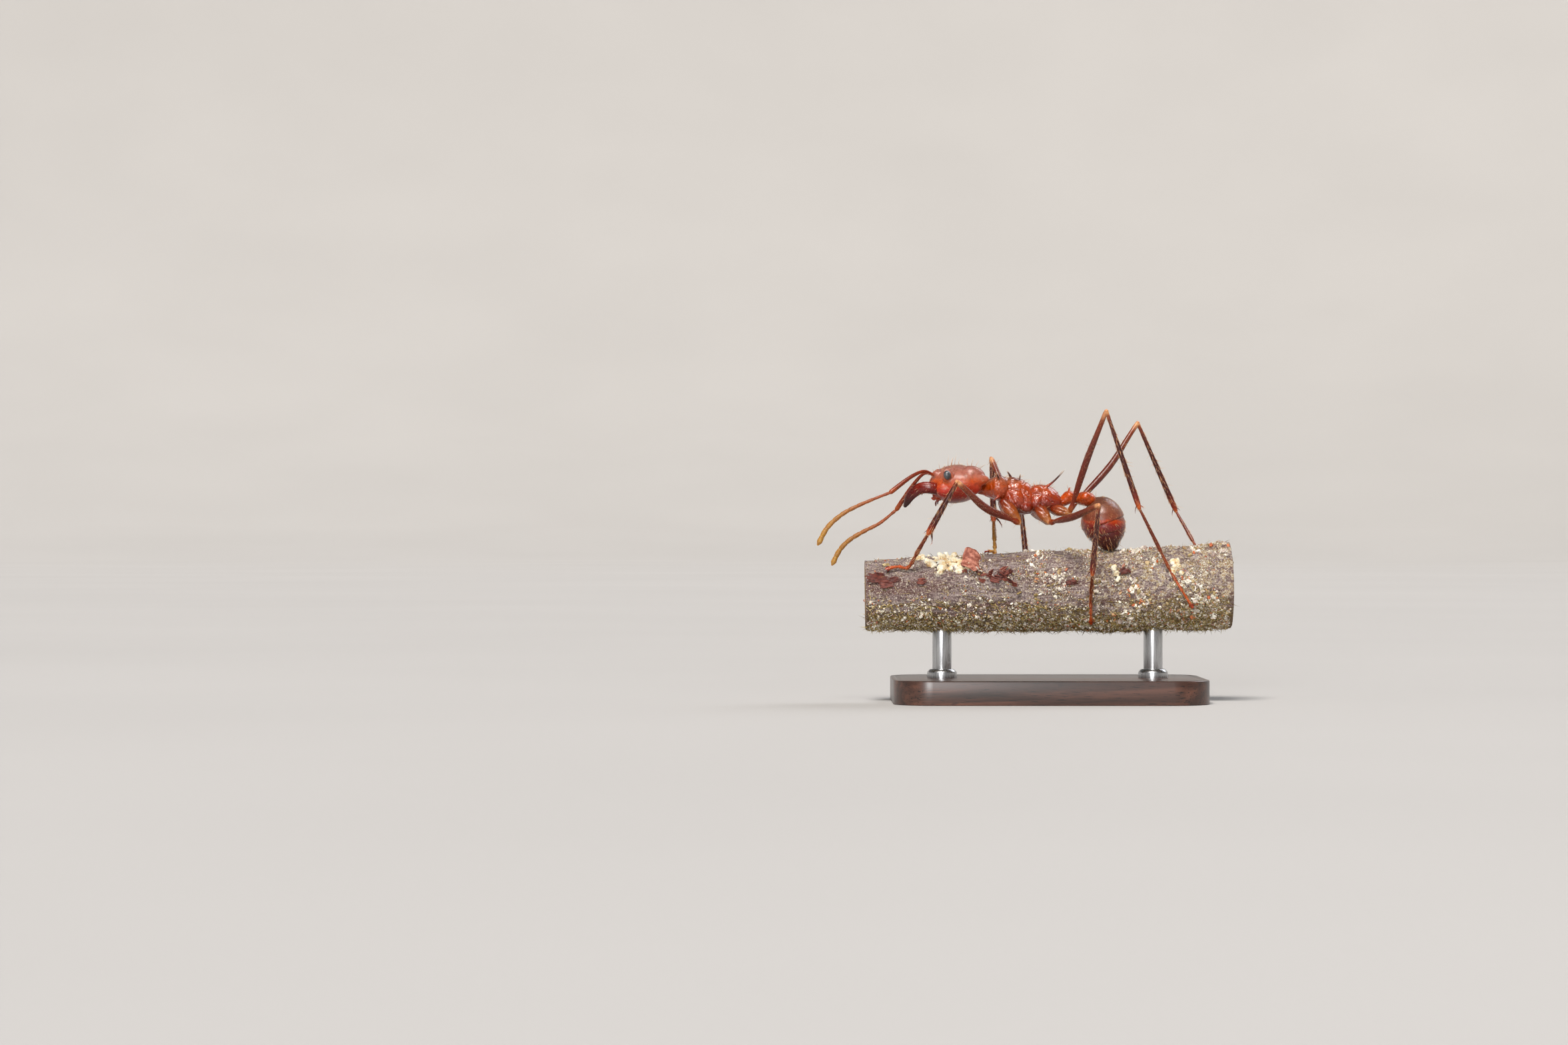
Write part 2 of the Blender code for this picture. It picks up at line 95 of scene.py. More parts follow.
# Where one plate of the gaster ends and the next begins, as shares of its length.
GASTER_CUTS = (0.0, 0.54, 0.72, 0.86, 1.0)

# The antennae: the points that each scape, and then each whip, is laid along.
SCAPES = {
    "left": [(-4.72, -0.40, 9.44), (-5.08, -0.60, 9.60), (-5.41, -0.78, 9.53), (-5.86, -1.00, 9.27),
             (-6.59, -1.30, 8.71)],
    "right": [(-4.72, 0.40, 9.44), (-5.04, 0.66, 9.54), (-5.32, 0.86, 9.36), (-5.72, 1.06, 8.84),
              (-6.27, 1.30, 8.00)],
}
WHIPS = {
    "left": [(-6.59, -1.30, 8.71), (-7.28, -1.38, 8.44), (-8.00, -1.46, 8.13), (-8.63, -1.52, 7.78),
             (-9.20, -1.56, 7.25), (-9.58, -1.58, 6.56)],
    "right": [(-6.27, 1.30, 8.00), (-6.97, 1.38, 7.44), (-7.61, 1.44, 7.11), (-8.23, 1.48, 6.74),
              (-8.65, 1.52, 6.30), (-8.96, 1.54, 5.70)],
}

# The twig: its axis and its radius both rise a little towards +X, and the axis has one shallow dip.
TWIG_HALF = 7.6
TWIG_AXIS_Z = 4.65
TWIG_AXIS_RISE = 0.026
TWIG_RADIUS = 1.6
TWIG_FLARE = 0.022
TWIG_DIP = 0.09
TWIG_DIP_X = 2.6
TWIG_DIP_WIDTH = 1.3
# How high the middle of a foot lies over the bark.
FOOT_LIFT = 0.15

# The stand: a board, and two pins that stand in it this far to either side and end inside the twig.
BASE_SIZE = (13.0, 8.4, 1.0)
BASE_CORNER = 1.6
ROD_X = 4.4
ROD_DIAMETER = 0.8
ROD_FOOT = 0.8
ROD_REACH = 0.5

def twig_centre(x):
    dip = TWIG_DIP * math.exp(-(((x - TWIG_DIP_X) / TWIG_DIP_WIDTH) ** 2))
    return Vector((x, 0, TWIG_AXIS_Z + TWIG_AXIS_RISE * x - dip))


def twig_radius(x):
    return TWIG_RADIUS + TWIG_FLARE * x


def swell(x, turn):
    """How far the bark stands out of a true round here, as a share of the radius."""
    return 1 + 0.018 * math.sin(3 * turn + 0.9 * x) + 0.014 * math.sin(2 * turn - 0.6 * x + 1)


def on_twig(x, degrees, lift=FOOT_LIFT):
    """A point over the bark, this far round from the crest towards the near side."""
    turn = math.radians(degrees)
    reach = twig_radius(x) + lift
    return twig_centre(x) + Vector((0, -math.sin(turn) * reach, math.cos(turn) * reach))


# Each pair of legs: where its coxa starts and ends, how thick the coxa is, and how stout the rest is.
HIPS = {
    "front": ((-1.86, 0.42, 8.34), (-1.22, 0.72, 7.46), 0.60, 1.0),
    "middle": ((-0.42, 0.40, 8.10), (0.05, 0.76, 7.46), 0.55, 0.92),
    "hind": ((0.22, 0.38, 8.02), (0.88, 0.72, 7.88), 0.48, 0.86),
}
# Each leg: a point on the thigh, the knee, the ankle, and the foot laid along the bark.
STANCE = {
    "left_front": ((-2.65, -1.60, 8.07), (-3.86, -2.30, 9.15), (-5.04, -1.95, 7.01),
                   [on_twig(-5.82, 46), on_twig(-6.24, 44), on_twig(-6.60, 46)]),
    "right_front": ((-1.76, 1.70, 8.92), (-2.22, 2.50, 10.18), (-2.15, 1.95, 7.54),
                    [on_twig(-2.16, -22), on_twig(-2.26, -10), on_twig(-2.46, -4)]),
    "left_middle": ((0.95, -2.40, 7.72), (1.85, -4.00, 8.18), (1.66, -2.95, 5.34),
                    [on_twig(1.68, 104), on_twig(1.70, 119), on_twig(1.72, 134)]),
    "right_middle": ((-0.44, 2.50, 7.90), (-0.94, 4.05, 8.62), (-0.69, 3.05, 5.61),
                     [on_twig(-0.66, -100), on_twig(-0.66, -115), on_twig(-0.68, -130)]),
    "left_hind": ((1.50, -1.80, 10.00), (2.25, -2.70, 12.06), (3.65, -2.25, 8.05),
                  [on_twig(5.00, 70), on_twig(5.40, 92), on_twig(5.80, 112)]),
    "right_hind": ((2.68, 1.50, 9.80), (3.94, 2.25, 11.68), (5.61, 2.80, 7.95),
                   [on_twig(6.60, -52), on_twig(6.86, -66), on_twig(7.06, -82)]),
}


# How thick each part of a leg is at each share of its length, before its size is taken into account.
COXA_PROFILE = [(0, .74), (.25, 1.0), (.5, .98), (.75, .74), (.92, .5), (1, .4)]
FEMUR_PROFILE = [
    (0, .17), (.025, .27), (.06, .28), (.085, .20), (.11, .19), (.2, .29), (.38, .355), (.58, .34), (.78, .27),
    (.92, .235), (.97, .25), (1, .17),
]
TIBIA_PROFILE = [
    (0, .16), (.02, .21), (.055, .17), (.10, .18), (.3, .215), (.6, .26), (.85, .29), (.95, .28), (1, .19),
]
SKIN_FOLDS = [(0, .80), (.12, .96), (.26, .84), (.38, 1.0), (.5, .88), (.62, 1.0), (.74, .84), (.88, .96), (1, .80)]
# Where one segment of the tarsus ends and the next begins, as shares of its length.
TARSUS_CUTS = (0, 0.46, 0.62, 0.75, 0.86, 1.0)
# The spurs at an ankle: which way each leans, its reach and its thickness.  A front leg's inner spur is the big
# curved comb that the antennae are drawn through.
FRONT_SPURS = ((1, 0.20, 0.07), (-1, 0.52, 0.12))
SPURS = ((1, 0.32, 0.075), (-1, 0.20, 0.07))
HOOK_RADIUS = 0.17


# ---------------------------------------------------------------- tools for modelling


def begin(operator, **settings):
    """Adds one primitive with nothing else selected, and gives it back."""
    bpy.ops.object.select_all(action="DESELECT")
    operator(**settings)
    return bpy.context.object


def placed(name, data):
    """An object that carries this data, put in the scene."""
    made = bpy.data.objects.new(name, data)
    bpy.context.scene.collection.objects.link(made)
    return made


def pick(*pieces):
    bpy.ops.object.select_all(action="DESELECT")
    for piece in pieces:
        piece.select_set(True)
    bpy.context.view_layer.objects.active = pieces[0]


@contextmanager
def editing(piece, kind="VERT", chosen=None):
    """Edit mode, with all of the mesh selected, or only the points, edges or faces that chosen says."""
    pick(piece)
    bpy.ops.object.mode_set(mode="EDIT")
    bpy.ops.mesh.select_mode(type=kind)
    bpy.ops.mesh.select_all(action="DESELECT" if chosen else "SELECT")
    if chosen:
        bpy.ops.object.mode_set(mode="OBJECT")
        mesh = piece.data
        for part in {"VERT": mesh.vertices, "EDGE": mesh.edges, "FACE": mesh.polygons}[kind]:
            part.select = chosen(part)
        bpy.ops.object.mode_set(mode="EDIT")
    yield
    bpy.ops.object.mode_set(mode="OBJECT")


def settle(piece):
    """Puts the object at the origin, unturned and unscaled, with its place in its mesh."""
    pick(piece)
    bpy.ops.object.transform_apply(location=True, rotation=True, scale=True)
    return piece


def outward(piece):
    with editing(piece):
        bpy.ops.mesh.normals_make_consistent(inside=False)


# Where the cursor stands while a mesh is put in order: no two of its parts are as far from it as each other.
ORDER_FROM = (0.37, -0.59, 0.83)


def in_order(piece):
    """Numbers the points, edges and faces by how far they are from one place.

    Extruding leaves them in an order that changes from run to run, and what is strewn over the mesh later goes by it.
    """
    bpy.context.scene.cursor.location = ORDER_FROM
    with editing(piece):
        bpy.ops.mesh.sort_elements(type="CURSOR_DISTANCE", elements={"VERT", "EDGE", "FACE"})
    bpy.context.scene.cursor.location = (0, 0, 0)


def applied(piece, kind, **settings):
    pick(piece)
    modifier = piece.modifiers.new(kind.lower(), kind)
    for name, value in settings.items():
        setattr(modifier, name, value)
    bpy.ops.object.modifier_apply(modifier=modifier.name)
    return piece


def rounded(piece, levels=2):
    return applied(piece, "SUBSURF", levels=levels, render_levels=levels)


def joined(*pieces):
    pick(*pieces)
    if len(pieces) > 1:
        bpy.ops.object.join()
    return pieces[0]


def copied(piece):
    pick(piece)
    bpy.ops.object.duplicate(linked=False)
    return bpy.context.object


def removed(*pieces):
    for piece in pieces:
        bpy.data.objects.remove(piece, do_unlink=True)


def smooth_line(points, per_span=6):
    """Points along a smooth line through the given ones (Catmull-Rom)."""
    line = [Vector(p) for p in points]
    line = [2 * line[0] - line[1], *line, 2 * line[-1] - line[-2]]
    found = []
    for i in range(1, len(line) - 2):
        a, b, c, d = line[i - 1 : i + 3]
        for k in range(per_span):
            t = k / per_span
            curve = (2 * a - 5 * b + 4 * c - d) * t**2 + (3 * b - a - 3 * c + d) * t**3
            found.append(0.5 * (2 * b + (c - a) * t + curve))
    found.append(line[-2])
    return found


def length_of(line):
    return sum((b - a).length for a, b in zip(line, line[1:]))


# Where the three rings of a dome lie, in degrees up from its rim.
DOME_ANGLES = (35, 62, 82)


def domed(rings, start=0.5, end=0.5):
    """The rings with three smaller ones put beyond each end, which close it as a dome."""
    rings = list(rings)
    for share, beside, at in ((start, 1, 0), (end, -2, -1)):
        x, z, width, depth = rings[at]
        way = Vector((x - rings[beside][0], z - rings[beside][1])).normalized()
        cap = []
        for angle in map(math.radians, DOME_ANGLES):
            reach = share * (width + depth) / 4 * math.sin(angle)
            size = math.cos(angle)
            cap.append((x + way.x * reach, z + way.y * reach, width * size, depth * size))
        rings = cap[::-1] + rings if at == 0 else rings + cap
    return rings


def drawn_out(rings, sides=16, levels=2):
    """A disc drawn out ring by ring along a line in the X-Z plane.  Each ring is (x, z, width, depth)."""
    centres = [Vector((x, 0, z)) for x, z, _, _ in rings]
    tilts = []
    for i in range(len(rings)):
        way = centres[min(i + 1, len(rings) - 1)] - centres[max(i - 1, 0)]
        tilts.append(math.atan2(way.z, way.x))
    bar = begin(
        bpy.ops.mesh.primitive_circle_add, vertices=sides, radius=0.5, fill_type="NGON",
        location=centres[0], rotation=(0, math.pi / 2 - tilts[0], 0),
    )
    with editing(bar, "FACE"):
        _, _, width, depth = rings[0]
        bpy.ops.transform.resize(value=(depth, width, depth), center_override=centres[0])
        for i in range(1, len(rings)):
            wider, deeper = rings[i][2] / rings[i - 1][2], rings[i][3] / rings[i - 1][3]
            bpy.ops.mesh.extrude_region_move(
                TRANSFORM_OT_translate={"value": centres[i] - centres[i - 1]}
            )
            bpy.ops.transform.resize(value=(deeper, wider, deeper), center_override=centres[i])
            if abs(tilts[i] - tilts[i - 1]) > 1e-4:
                bpy.ops.transform.rotate(
                    value=tilts[i] - tilts[i - 1], orient_axis="Y", center_override=centres[i]
                )
    settle(bar)
    outward(bar)
    in_order(bar)
    return rounded(bar, levels) if levels else bar


def aimed(piece, start, end):
    """Lays a piece that was modelled along +X from the origin from start towards end."""
    way = Vector(end) - Vector(start)
    piece.matrix_world = Matrix.Translation(start) @ way.to_track_quat("X", "Z").to_matrix().to_4x4()
    return settle(piece)


def bent(piece, line):
    """Bends a bar that lies along +X from the origin onto a line of points."""
    data = bpy.data.curves.new("guide", "CURVE")
    data.dimensions = "3D"
    spline = data.splines.new("POLY")
    spline.points.add(len(line) - 1)
    for place, point in zip(line, spline.points):
        point.co = (*place, 1)
    guide = placed("guide", data)
    applied(piece, "CURVE", object=guide, deform_axis="POS_X")
    removed(guide)
    return piece


def lump(centre, size, turn=(0, 0, 0)):
    """A rounded swelling to be fused into a shell; turn is in degrees."""
    ball = begin(
        bpy.ops.mesh.primitive_uv_sphere_add, segments=24, ring_count=14, radius=0.5, location=centre,
        rotation=[math.radians(a) for a in turn], scale=size,
    )
    return settle(ball)


def pair(shape, places, *sizes):
    """The same swelling or spine on the left and on the right; places are given for the right side."""
    return [shape(*((x, side * y, z) for x, y, z in places), *sizes) for side in SIDES.values()]


# How thick a spine is at each share of its length, and how deep its foot is sunk below its base.
SPINE_PROFILE = ((0, 1.0), (0.18, 0.86), (0.4, 0.6), (0.62, 0.4), (0.82, 0.24), (0.96, 0.12), (1, 0.05))
SPINE_FOOT = 0.12


def spine(base, tip, thickness, sweep=0.0, slender=1.0):
    """A tapering thorn from below base to tip.

    sweep is how far its middle bows, and a slender of less than 1 fills it out."""
    base, tip = Vector(base), Vector(tip)
    base = base - (tip - base).normalized() * SPINE_FOOT
    length = (tip - base).length
    rings = []
    for share, wide in SPINE_PROFILE:
        bow = sweep * math.sin(math.pi * share)
        wide = thickness * wide**slender
        rings.append((share * length, bow, wide, wide))
    return aimed(marked_along(drawn_out(rings, 12, 1), length), base, tip)


def fused(parts, voxel, rounds=5):
    """Joins the parts, skins them over as one closed form, and eases what is left of the steps."""
    whole = joined(*parts)
    applied(whole, "REMESH", mode="VOXEL", voxel_size=voxel, use_smooth_shade=True)
    return applied(whole, "SMOOTH", factor=0.5, iterations=rounds)


def read_mesh(piece):
    """(points, normals) of the mesh's vertices."""
    count = len(piece.data.vertices)
    points = np.empty(count * 3)
    piece.data.vertices.foreach_get("co", points)
    normals = np.empty(count * 3, np.float32)
    piece.data.vertex_normals.foreach_get("vector", normals)
    return points.reshape(-1, 3), normals.reshape(-1, 3)


def write_points(piece, points):
    piece.data.vertices.foreach_set("co", points.reshape(-1))
    piece.data.update()


def worked(piece, line, height, width):
    """Works a furrow (height below 0) or a ridge (above 0) into the surface under a line of points."""
    points, normals = read_mesh(piece)
    line = smooth_line(line, 8) if len(line) > 1 else [Vector(line[0])]
    surface = BVHTree.FromObject(piece, bpy.context.evaluated_depsgraph_get())
    near = np.full(len(points), np.inf)
    for place in line:
        place = surface.find_nearest(Vector(place))[0]
        near = np.minimum(near, ((points - np.array(place)) ** 2).sum(1))
    write_points(piece, points + normals * (height * np.exp(-near / width**2))[:, None])


def worked_in_pairs(piece, *works):
    """Works each (line, height, width) into one side and then into the other; lines are for the right side."""
    for side in SIDES.values():
        for line, height, width in works:
            worked(piece, [(x, side * y, z) for x, y, z in line], height, width)


def roughened(piece, size, height):
    """Gives the surface soft unevenness of this size and height."""
    texture = bpy.data.textures.new("unevenness", "CLOUDS")
    texture.noise_scale = size
    applied(piece, "DISPLACE", texture=texture, texture_coords="LOCAL", strength=height, mid_level=0.5)
    bpy.data.textures.remove(texture)
    return piece


def number_each_point(piece, name, values):
    found = piece.data.attributes.new(name, "FLOAT", "POINT")
    found.data.foreach_set("value", np.asarray(values, np.float32))


def marked_along(bar, length):
    """Numbers the points of a bar that lies along +X, from 0 at its root to 1 at its end."""
    places, _ = read_mesh(bar)
    number_each_point(bar, "along", np.clip(places[:, 0] / length, 0, 1))
    return bar


def finished(piece, name, material, slot, *nodes):
    """The end of every piece: to metres, smooth, in its material, on the ant's one body."""
    pick(piece)
    piece.scale = (1 / METRE,) * 3
    settle(piece)
    bpy.ops.object.shade_smooth()
    piece.name = name
    piece.data.name = name
    piece.data.materials.clear()
    piece.data.materials.append(material)
    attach(piece, "root")
    if nodes:
        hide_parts(*nodes)
    return piece


# ---------------------------------------------------------------- tools for materials


def linear(code):
    """An sRGB hex colour as the linear colour that a shader takes."""
    parts = [int(code[i : i + 2], 16) / 255 for i in (1, 3, 5)]
    return (*(p / 12.92 if p <= 0.04045 else ((p + 0.055) / 1.055) ** 2.4 for p in parts), 1.0)


def shown(node):
    """The socket that a node is read from: its first output in use."""
    return next(socket for socket in node.outputs if socket.enabled)


def add(tree, kind, inputs=None, stops=None, **settings):
    """Adds a node.  inputs gives each named or numbered socket a value, or another node or its socket to link."""
    made = tree.nodes.new(kind)
    for name, value in settings.items():
        setattr(made, name, value)
    for key, value in (inputs or {}).items():
        if isinstance(value, bpy.types.Node):
            value = shown(value)
        if isinstance(value, bpy.types.NodeSocket):
            tree.links.new(value, made.inputs[key])
        else:
            made.inputs[key].default_value = value
    for i, (place, code) in enumerate(stops or ()):
        ramp = made.color_ramp.elements
        stop = ramp[i] if i < len(ramp) else ramp.new(place)
        stop.position = place
        stop.color = linear(code)
    return made


def new_material(name):
    """A material, its tree, and object coordinates in millimetres."""
    material = bpy.data.materials.new(name)
    material.use_nodes = True
    tree = material.node_tree
    where = add(tree, "ShaderNodeTexCoord")
    place = add(tree, "ShaderNodeMapping", {"Vector": where.outputs["Object"], "Scale": (METRE,) * 3})
    return material, tree, place


# The colour sockets of a Mix node.
FACTOR, UNDER, OVER = 0, 6, 7


def stained(tree, colour, over, pattern, start, end, most=1.0):
    """Lays a second colour over the first, from none where the pattern is at start to the most at end."""
    share = add(tree, "ShaderNodeMapRange", {"Value": pattern, "From Min": start, "From Max": end, "To Max": most})
    return add(tree, "ShaderNodeMix", {FACTOR: share, UNDER: colour, OVER: over}, data_type="RGBA")


def shaded(tree, colour, pattern, most, stops):
    """Deepens the colour by the tones that the stops give along the pattern."""
    shade = add(tree, "ShaderNodeValToRGB", {"Fac": pattern}, stops)
    return add(
        tree, "ShaderNodeMix", {FACTOR: most, UNDER: colour, OVER: shade}, data_type="RGBA", blend_type="MULTIPLY"
    )


def surfaced(material, colour, pattern=None, gloss=None, relief=None, coated=False, **values):
    """The end of every material.

    Its roughness runs along the pattern between the two values of gloss.  relief is a height, how much of it
    shows, and its depth in millimetres; the coat follows it where coated.  values are the same all over."""
    tree = material.node_tree
    shader = tree.nodes["Principled BSDF"]
    links = [(colour, "Base Color")]
    if gloss:
        worn = add(tree, "ShaderNodeMapRange", {"Value": pattern, "To Min": gloss[0], "To Max": gloss[1]})
        links.append((worn, "Roughness"))
    if relief:
        height, strength, depth = relief
        bump = add(tree, "ShaderNodeBump", {"Height": height, "Strength": strength, "Distance": depth / METRE})
        links += [(bump, "Normal"), (bump, "Coat Normal")] if coated else [(bump, "Normal")]
    for node, socket in links:
        tree.links.new(shown(node), shader.inputs[socket])
    for name, value in values.items():
        shader.inputs[name.replace("_", " ")].default_value = value
    return material


# How far clouds of colour stray along a limb, as a share of its length.
LIMB_DRIFT = 0.16


def cuticle(name, stops, span=None, crease_shade="#1c0402", roughness=0.36, coat=0.35, net=0.05, through=0.25,
            sheen=0.0, drift=0.4, relief=0.02, coat_roughness=0.2):
    """Chitin: hard, tanned in place over a living skin, so it is deepest in colour where it is thickest, lets
    warm light through where it is thin, and has the fine net of the cells that laid it down.

    stops colour it from one end to the other: by height between the two values of span, or along a limb.
    crease_shade is painted shade: a dark colour laid into the concave creases and hollows.
    net is the size of one cell of the net in millimetres, drawn about twice as coarse as it is, so it shows."""
    material, tree, place = new_material(name)
    if span:
        height = add(tree, "ShaderNodeSeparateXYZ", {0: place})
        along = add(
            tree, "ShaderNodeMapRange", {"Value": height.outputs["Z"], "From Min": span[0], "From Max": span[1]}
        )
    else:
        along = add(tree, "ShaderNodeAttribute", attribute_name="along").outputs["Fac"]
        drift = LIMB_DRIFT
    clouds = add(tree, "ShaderNodeTexNoise", {"Vector": place, "Scale": 1.6, "Detail": 4.0})
    astray = add(tree, "ShaderNodeMath", {0: clouds, 1: 0.5}, operation="SUBTRACT")
    drifted = add(tree, "ShaderNodeMath", {0: astray, 1: drift, 2: along}, operation="MULTIPLY_ADD")
    colour = add(tree, "ShaderNodeValToRGB", {"Fac": drifted}, stops)
    flecks = add(tree, "ShaderNodeTexNoise", {"Vector": place, "Scale": 9.0, "Detail": 5.0, "Roughness": 0.6})
    colour = shaded(tree, colour, flecks, 0.8, [(0.3, "#c4b2aa"), (0.62, "#ffffff")])
    # Painted shade: a near-black laid into the concave creases and hollows, where shade would fall.
    form = add(tree, "ShaderNodeNewGeometry")
    colour = stained(tree, colour, linear(crease_shade), form.outputs["Pointiness"], 0.49, 0.43)
    cells = add(tree, "ShaderNodeTexVoronoi", {"Vector": place, "Scale": 1 / net}, feature="DISTANCE_TO_EDGE")
    walls = add(tree, "ShaderNodeMapRange", {"Value": cells, "From Max": 0.12})
    dents = add(tree, "ShaderNodeTexNoise", {"Vector": place, "Scale": 5.0, "Detail": 6.0, "Roughness": 0.55})
    height = add(tree, "ShaderNodeMath", {0: walls, 1: 0.16, 2: dents}, operation="MULTIPLY_ADD")
    return surfaced(
        material, colour, flecks, (roughness - 0.08, roughness + 0.12), (height, 0.4, relief), coated=True,
        IOR=1.42, Coat_Weight=coat, Coat_Roughness=coat_roughness, Coat_IOR=1.5, Subsurface_Weight=through,
        Subsurface_Radius=(1.0, 0.42, 0.16), Subsurface_Scale=0.3 / METRE,
        Sheen_Weight=sheen, Sheen_Roughness=0.35, Sheen_Tint=linear("#f0d8d2"),
    )


def make_chitins():
    """The ant's own finishes, named for the tanning that sets each apart, and for the painted light that some of them
    carry.
    """
    return {
        # Lighter and rosier towards the top: partly the head's own colour, partly painted sheen from light falling
        # from above; darker red towards the bottom.
        "head": cuticle(
            "head_chitin_brown_painted_rose_sheen",
            [(0.0, "#600300"), (0.16, "#8e0a00"), (0.34, "#b02600"), (0.52, "#b44404"), (0.62, "#a04e30"),
             (0.80, "#9c5e50"), (1.0, "#84544a")],
            (8.25, 9.95), roughness=0.42, coat=0.35, coat_roughness=0.28, net=0.032, through=0.2, sheen=0.05,
            drift=0.2, relief=0.008,
        ),
        "thorax": cuticle(
            "thorax_chitin_tanned_red",
            [(0.0, "#682404"), (0.3, "#801e00"), (0.5, "#983202"), (0.72, "#a4420a"), (0.88, "#9a5232"),
             (1.0, "#6e3420")],
            (7.7, 9.5), roughness=0.30, coat=0.8, coat_roughness=0.16, net=0.06, through=0.18, drift=0.55,
            relief=0.020,
        ),
        "waist": cuticle(
            "waist_chitin_tanned_orange",
            [(0.0, "#882000"), (0.5, "#bc4a00"), (1.0, "#a43800")], (8.1, 8.9), roughness=0.26, coat=0.45,
            coat_roughness=0.14, through=0.35, relief=0.024,
        ),
        # Near black at the bottom: partly the plates' own deeper tanning, partly painted shade on the underside.
        "gaster": cuticle(
            "gaster_chitin_brown_painted_shade_below",
            [(0.0, "#380200"), (0.25, "#560300"), (0.44, "#7a1000"), (0.53, "#ac3800"), (0.57, "#82402a"),
             (0.8, "#7c4832"), (1.0, "#6a3c28")],
            (6.4, 8.5), roughness=0.36, coat=0.35, coat_roughness=0.22, net=0.04, through=0.22, sheen=0.05,
            drift=0.16, relief=0.014,
        ),
        "coxa": cuticle(
            "coxa_chitin_amber",
            [(0.0, "#6c1c00"), (0.35, "#8a3a0e"), (0.75, "#94501c"), (1.0, "#b4743c")], roughness=0.27, coat=0.45,
            coat_roughness=0.16, through=0.35, relief=0.018,
        ),
        "leg": cuticle(
            "leg_chitin_tanned_umber",
            [(0.0, "#a85618"), (0.06, "#7a2806"), (0.3, "#641e0a"), (0.7, "#622414"), (0.9, "#7c300c"),
             (0.985, "#d49c6c")],
            roughness=0.38, coat=0.25, net=0.045, through=0.2, relief=0.014,
        ),
        "shin": cuticle(
            "shin_chitin_tanned_dark",
            [(0.0, "#cc925e"), (0.045, "#7c2e0c"), (0.12, "#501606"), (0.4, "#3c0a02"), (0.8, "#440a02"),
             (0.94, "#7a2004"), (1.0, "#bc5212")],
            roughness=0.36, coat=0.25, net=0.045, through=0.2, relief=0.014,
        ),
        "tarsus": cuticle(
            "tarsus_chitin_tawny",
            [(0.0, "#70280a"), (0.25, "#5c1e06"), (0.6, "#843408"), (1.0, "#bc5010")], roughness=0.34, coat=0.25,
            net=0.04, through=0.4, relief=0.012,
        ),
        # A paler, olive copy of the tarsus finish, for the far front foot only: painted light, since both front feet
        # are one colour.
        "painted_lit_tarsus": cuticle(
            "tarsus_chitin_olive_painted_light",
            [(0.0, "#7a4014"), (0.3, "#8c6220"), (0.7, "#ac8030"), (1.0, "#bc8c3c")], roughness=0.34, coat=0.25,
            net=0.04, through=0.45, relief=0.012,
        ),
        "scape": cuticle(
            "scape_chitin_russet",
            [(0.0, "#9c3e08"), (0.15, "#742000"), (0.8, "#762602"), (1.0, "#9c440c")], roughness=0.34, coat=0.25,
            net=0.04, through=0.35, relief=0.012,
        ),
        "whip": cuticle(
            "whip_chitin_straw",
            [(0.0, "#8a380c"), (0.3, "#904810"), (0.6, "#98641e"), (1.0, "#b08634")], roughness=0.45, coat=0.15,
            net=0.035, through=0.4, sheen=0.15, relief=0.012,
        ),
        "jaw": cuticle(
            "jaw_chitin_hardened_black_red",
            [(0.0, "#120100"), (0.35, "#300200"), (0.7, "#5c0600"), (1.0, "#781c04")], (7.9, 9.1),
            crease_shade="#080100", roughness=0.26, coat=0.25, coat_roughness=0.10, through=0.08, relief=0.014,
        ),
        "claw": cuticle(
            "claw_chitin_amber_red",
            [(0.0, "#9c3408"), (0.6, "#701800"), (1.0, "#2c0600")], roughness=0.25, coat=0.4, through=0.3,
        ),
        # The near-white tip is partly the thin chitin's own paleness, partly a painted highlight.
        "thorn": cuticle(
            "spine_chitin_horn_painted_tip_highlight",
            [(0.0, "#b03604"), (0.22, "#802604"), (0.45, "#3c180a"), (0.72, "#2e1a12"), (0.86, "#a08068"),
             (1.0, "#efe6da")],
            roughness=0.3, coat=0.4, through=0.3, relief=0.01,
        ),
    }


def make_eye_material():
    """A compound eye's cornea: hundreds of clear lenses grown over dark pigment, glossy, near black."""
    material, tree, place = new_material("eye_cornea_over_pigment")
    depth = add(tree, "ShaderNodeTexNoise", {"Vector": place, "Scale": 6.0, "Detail": 2.0})
    colour = add(tree, "ShaderNodeValToRGB", {"Fac": depth}, [(0.35, "#17171a"), (0.7, "#484e56")])
    return surfaced(
        material, colour, depth, (0.28, 0.42), IOR=1.56, Coat_Weight=1.0, Coat_Roughness=0.2, Coat_IOR=1.6
    )


def make_membrane_material():
    """The soft skin between plates: untanned chitin, finely folded, milky amber, and wet enough to shine."""
    material, tree, place = new_material("joint_skin_untanned")
    folds = add(tree, "ShaderNodeTexNoise", {"Vector": place, "Scale": 16.0, "Detail": 4.0, "Distortion": 1.5})
    colour = add(
        tree, "ShaderNodeValToRGB", {"Fac": folds}, [(0.3, "#a45c30"), (0.5, "#c08456"), (0.7, "#d6a47c")]
    )
    return surfaced(
        material, colour, folds, (0.25, 0.45), (folds, 0.6, 0.02), IOR=1.45,
        Subsurface_Weight=0.5, Subsurface_Radius=(1.0, 0.5, 0.3), Subsurface_Scale=0.2 / METRE,
    )


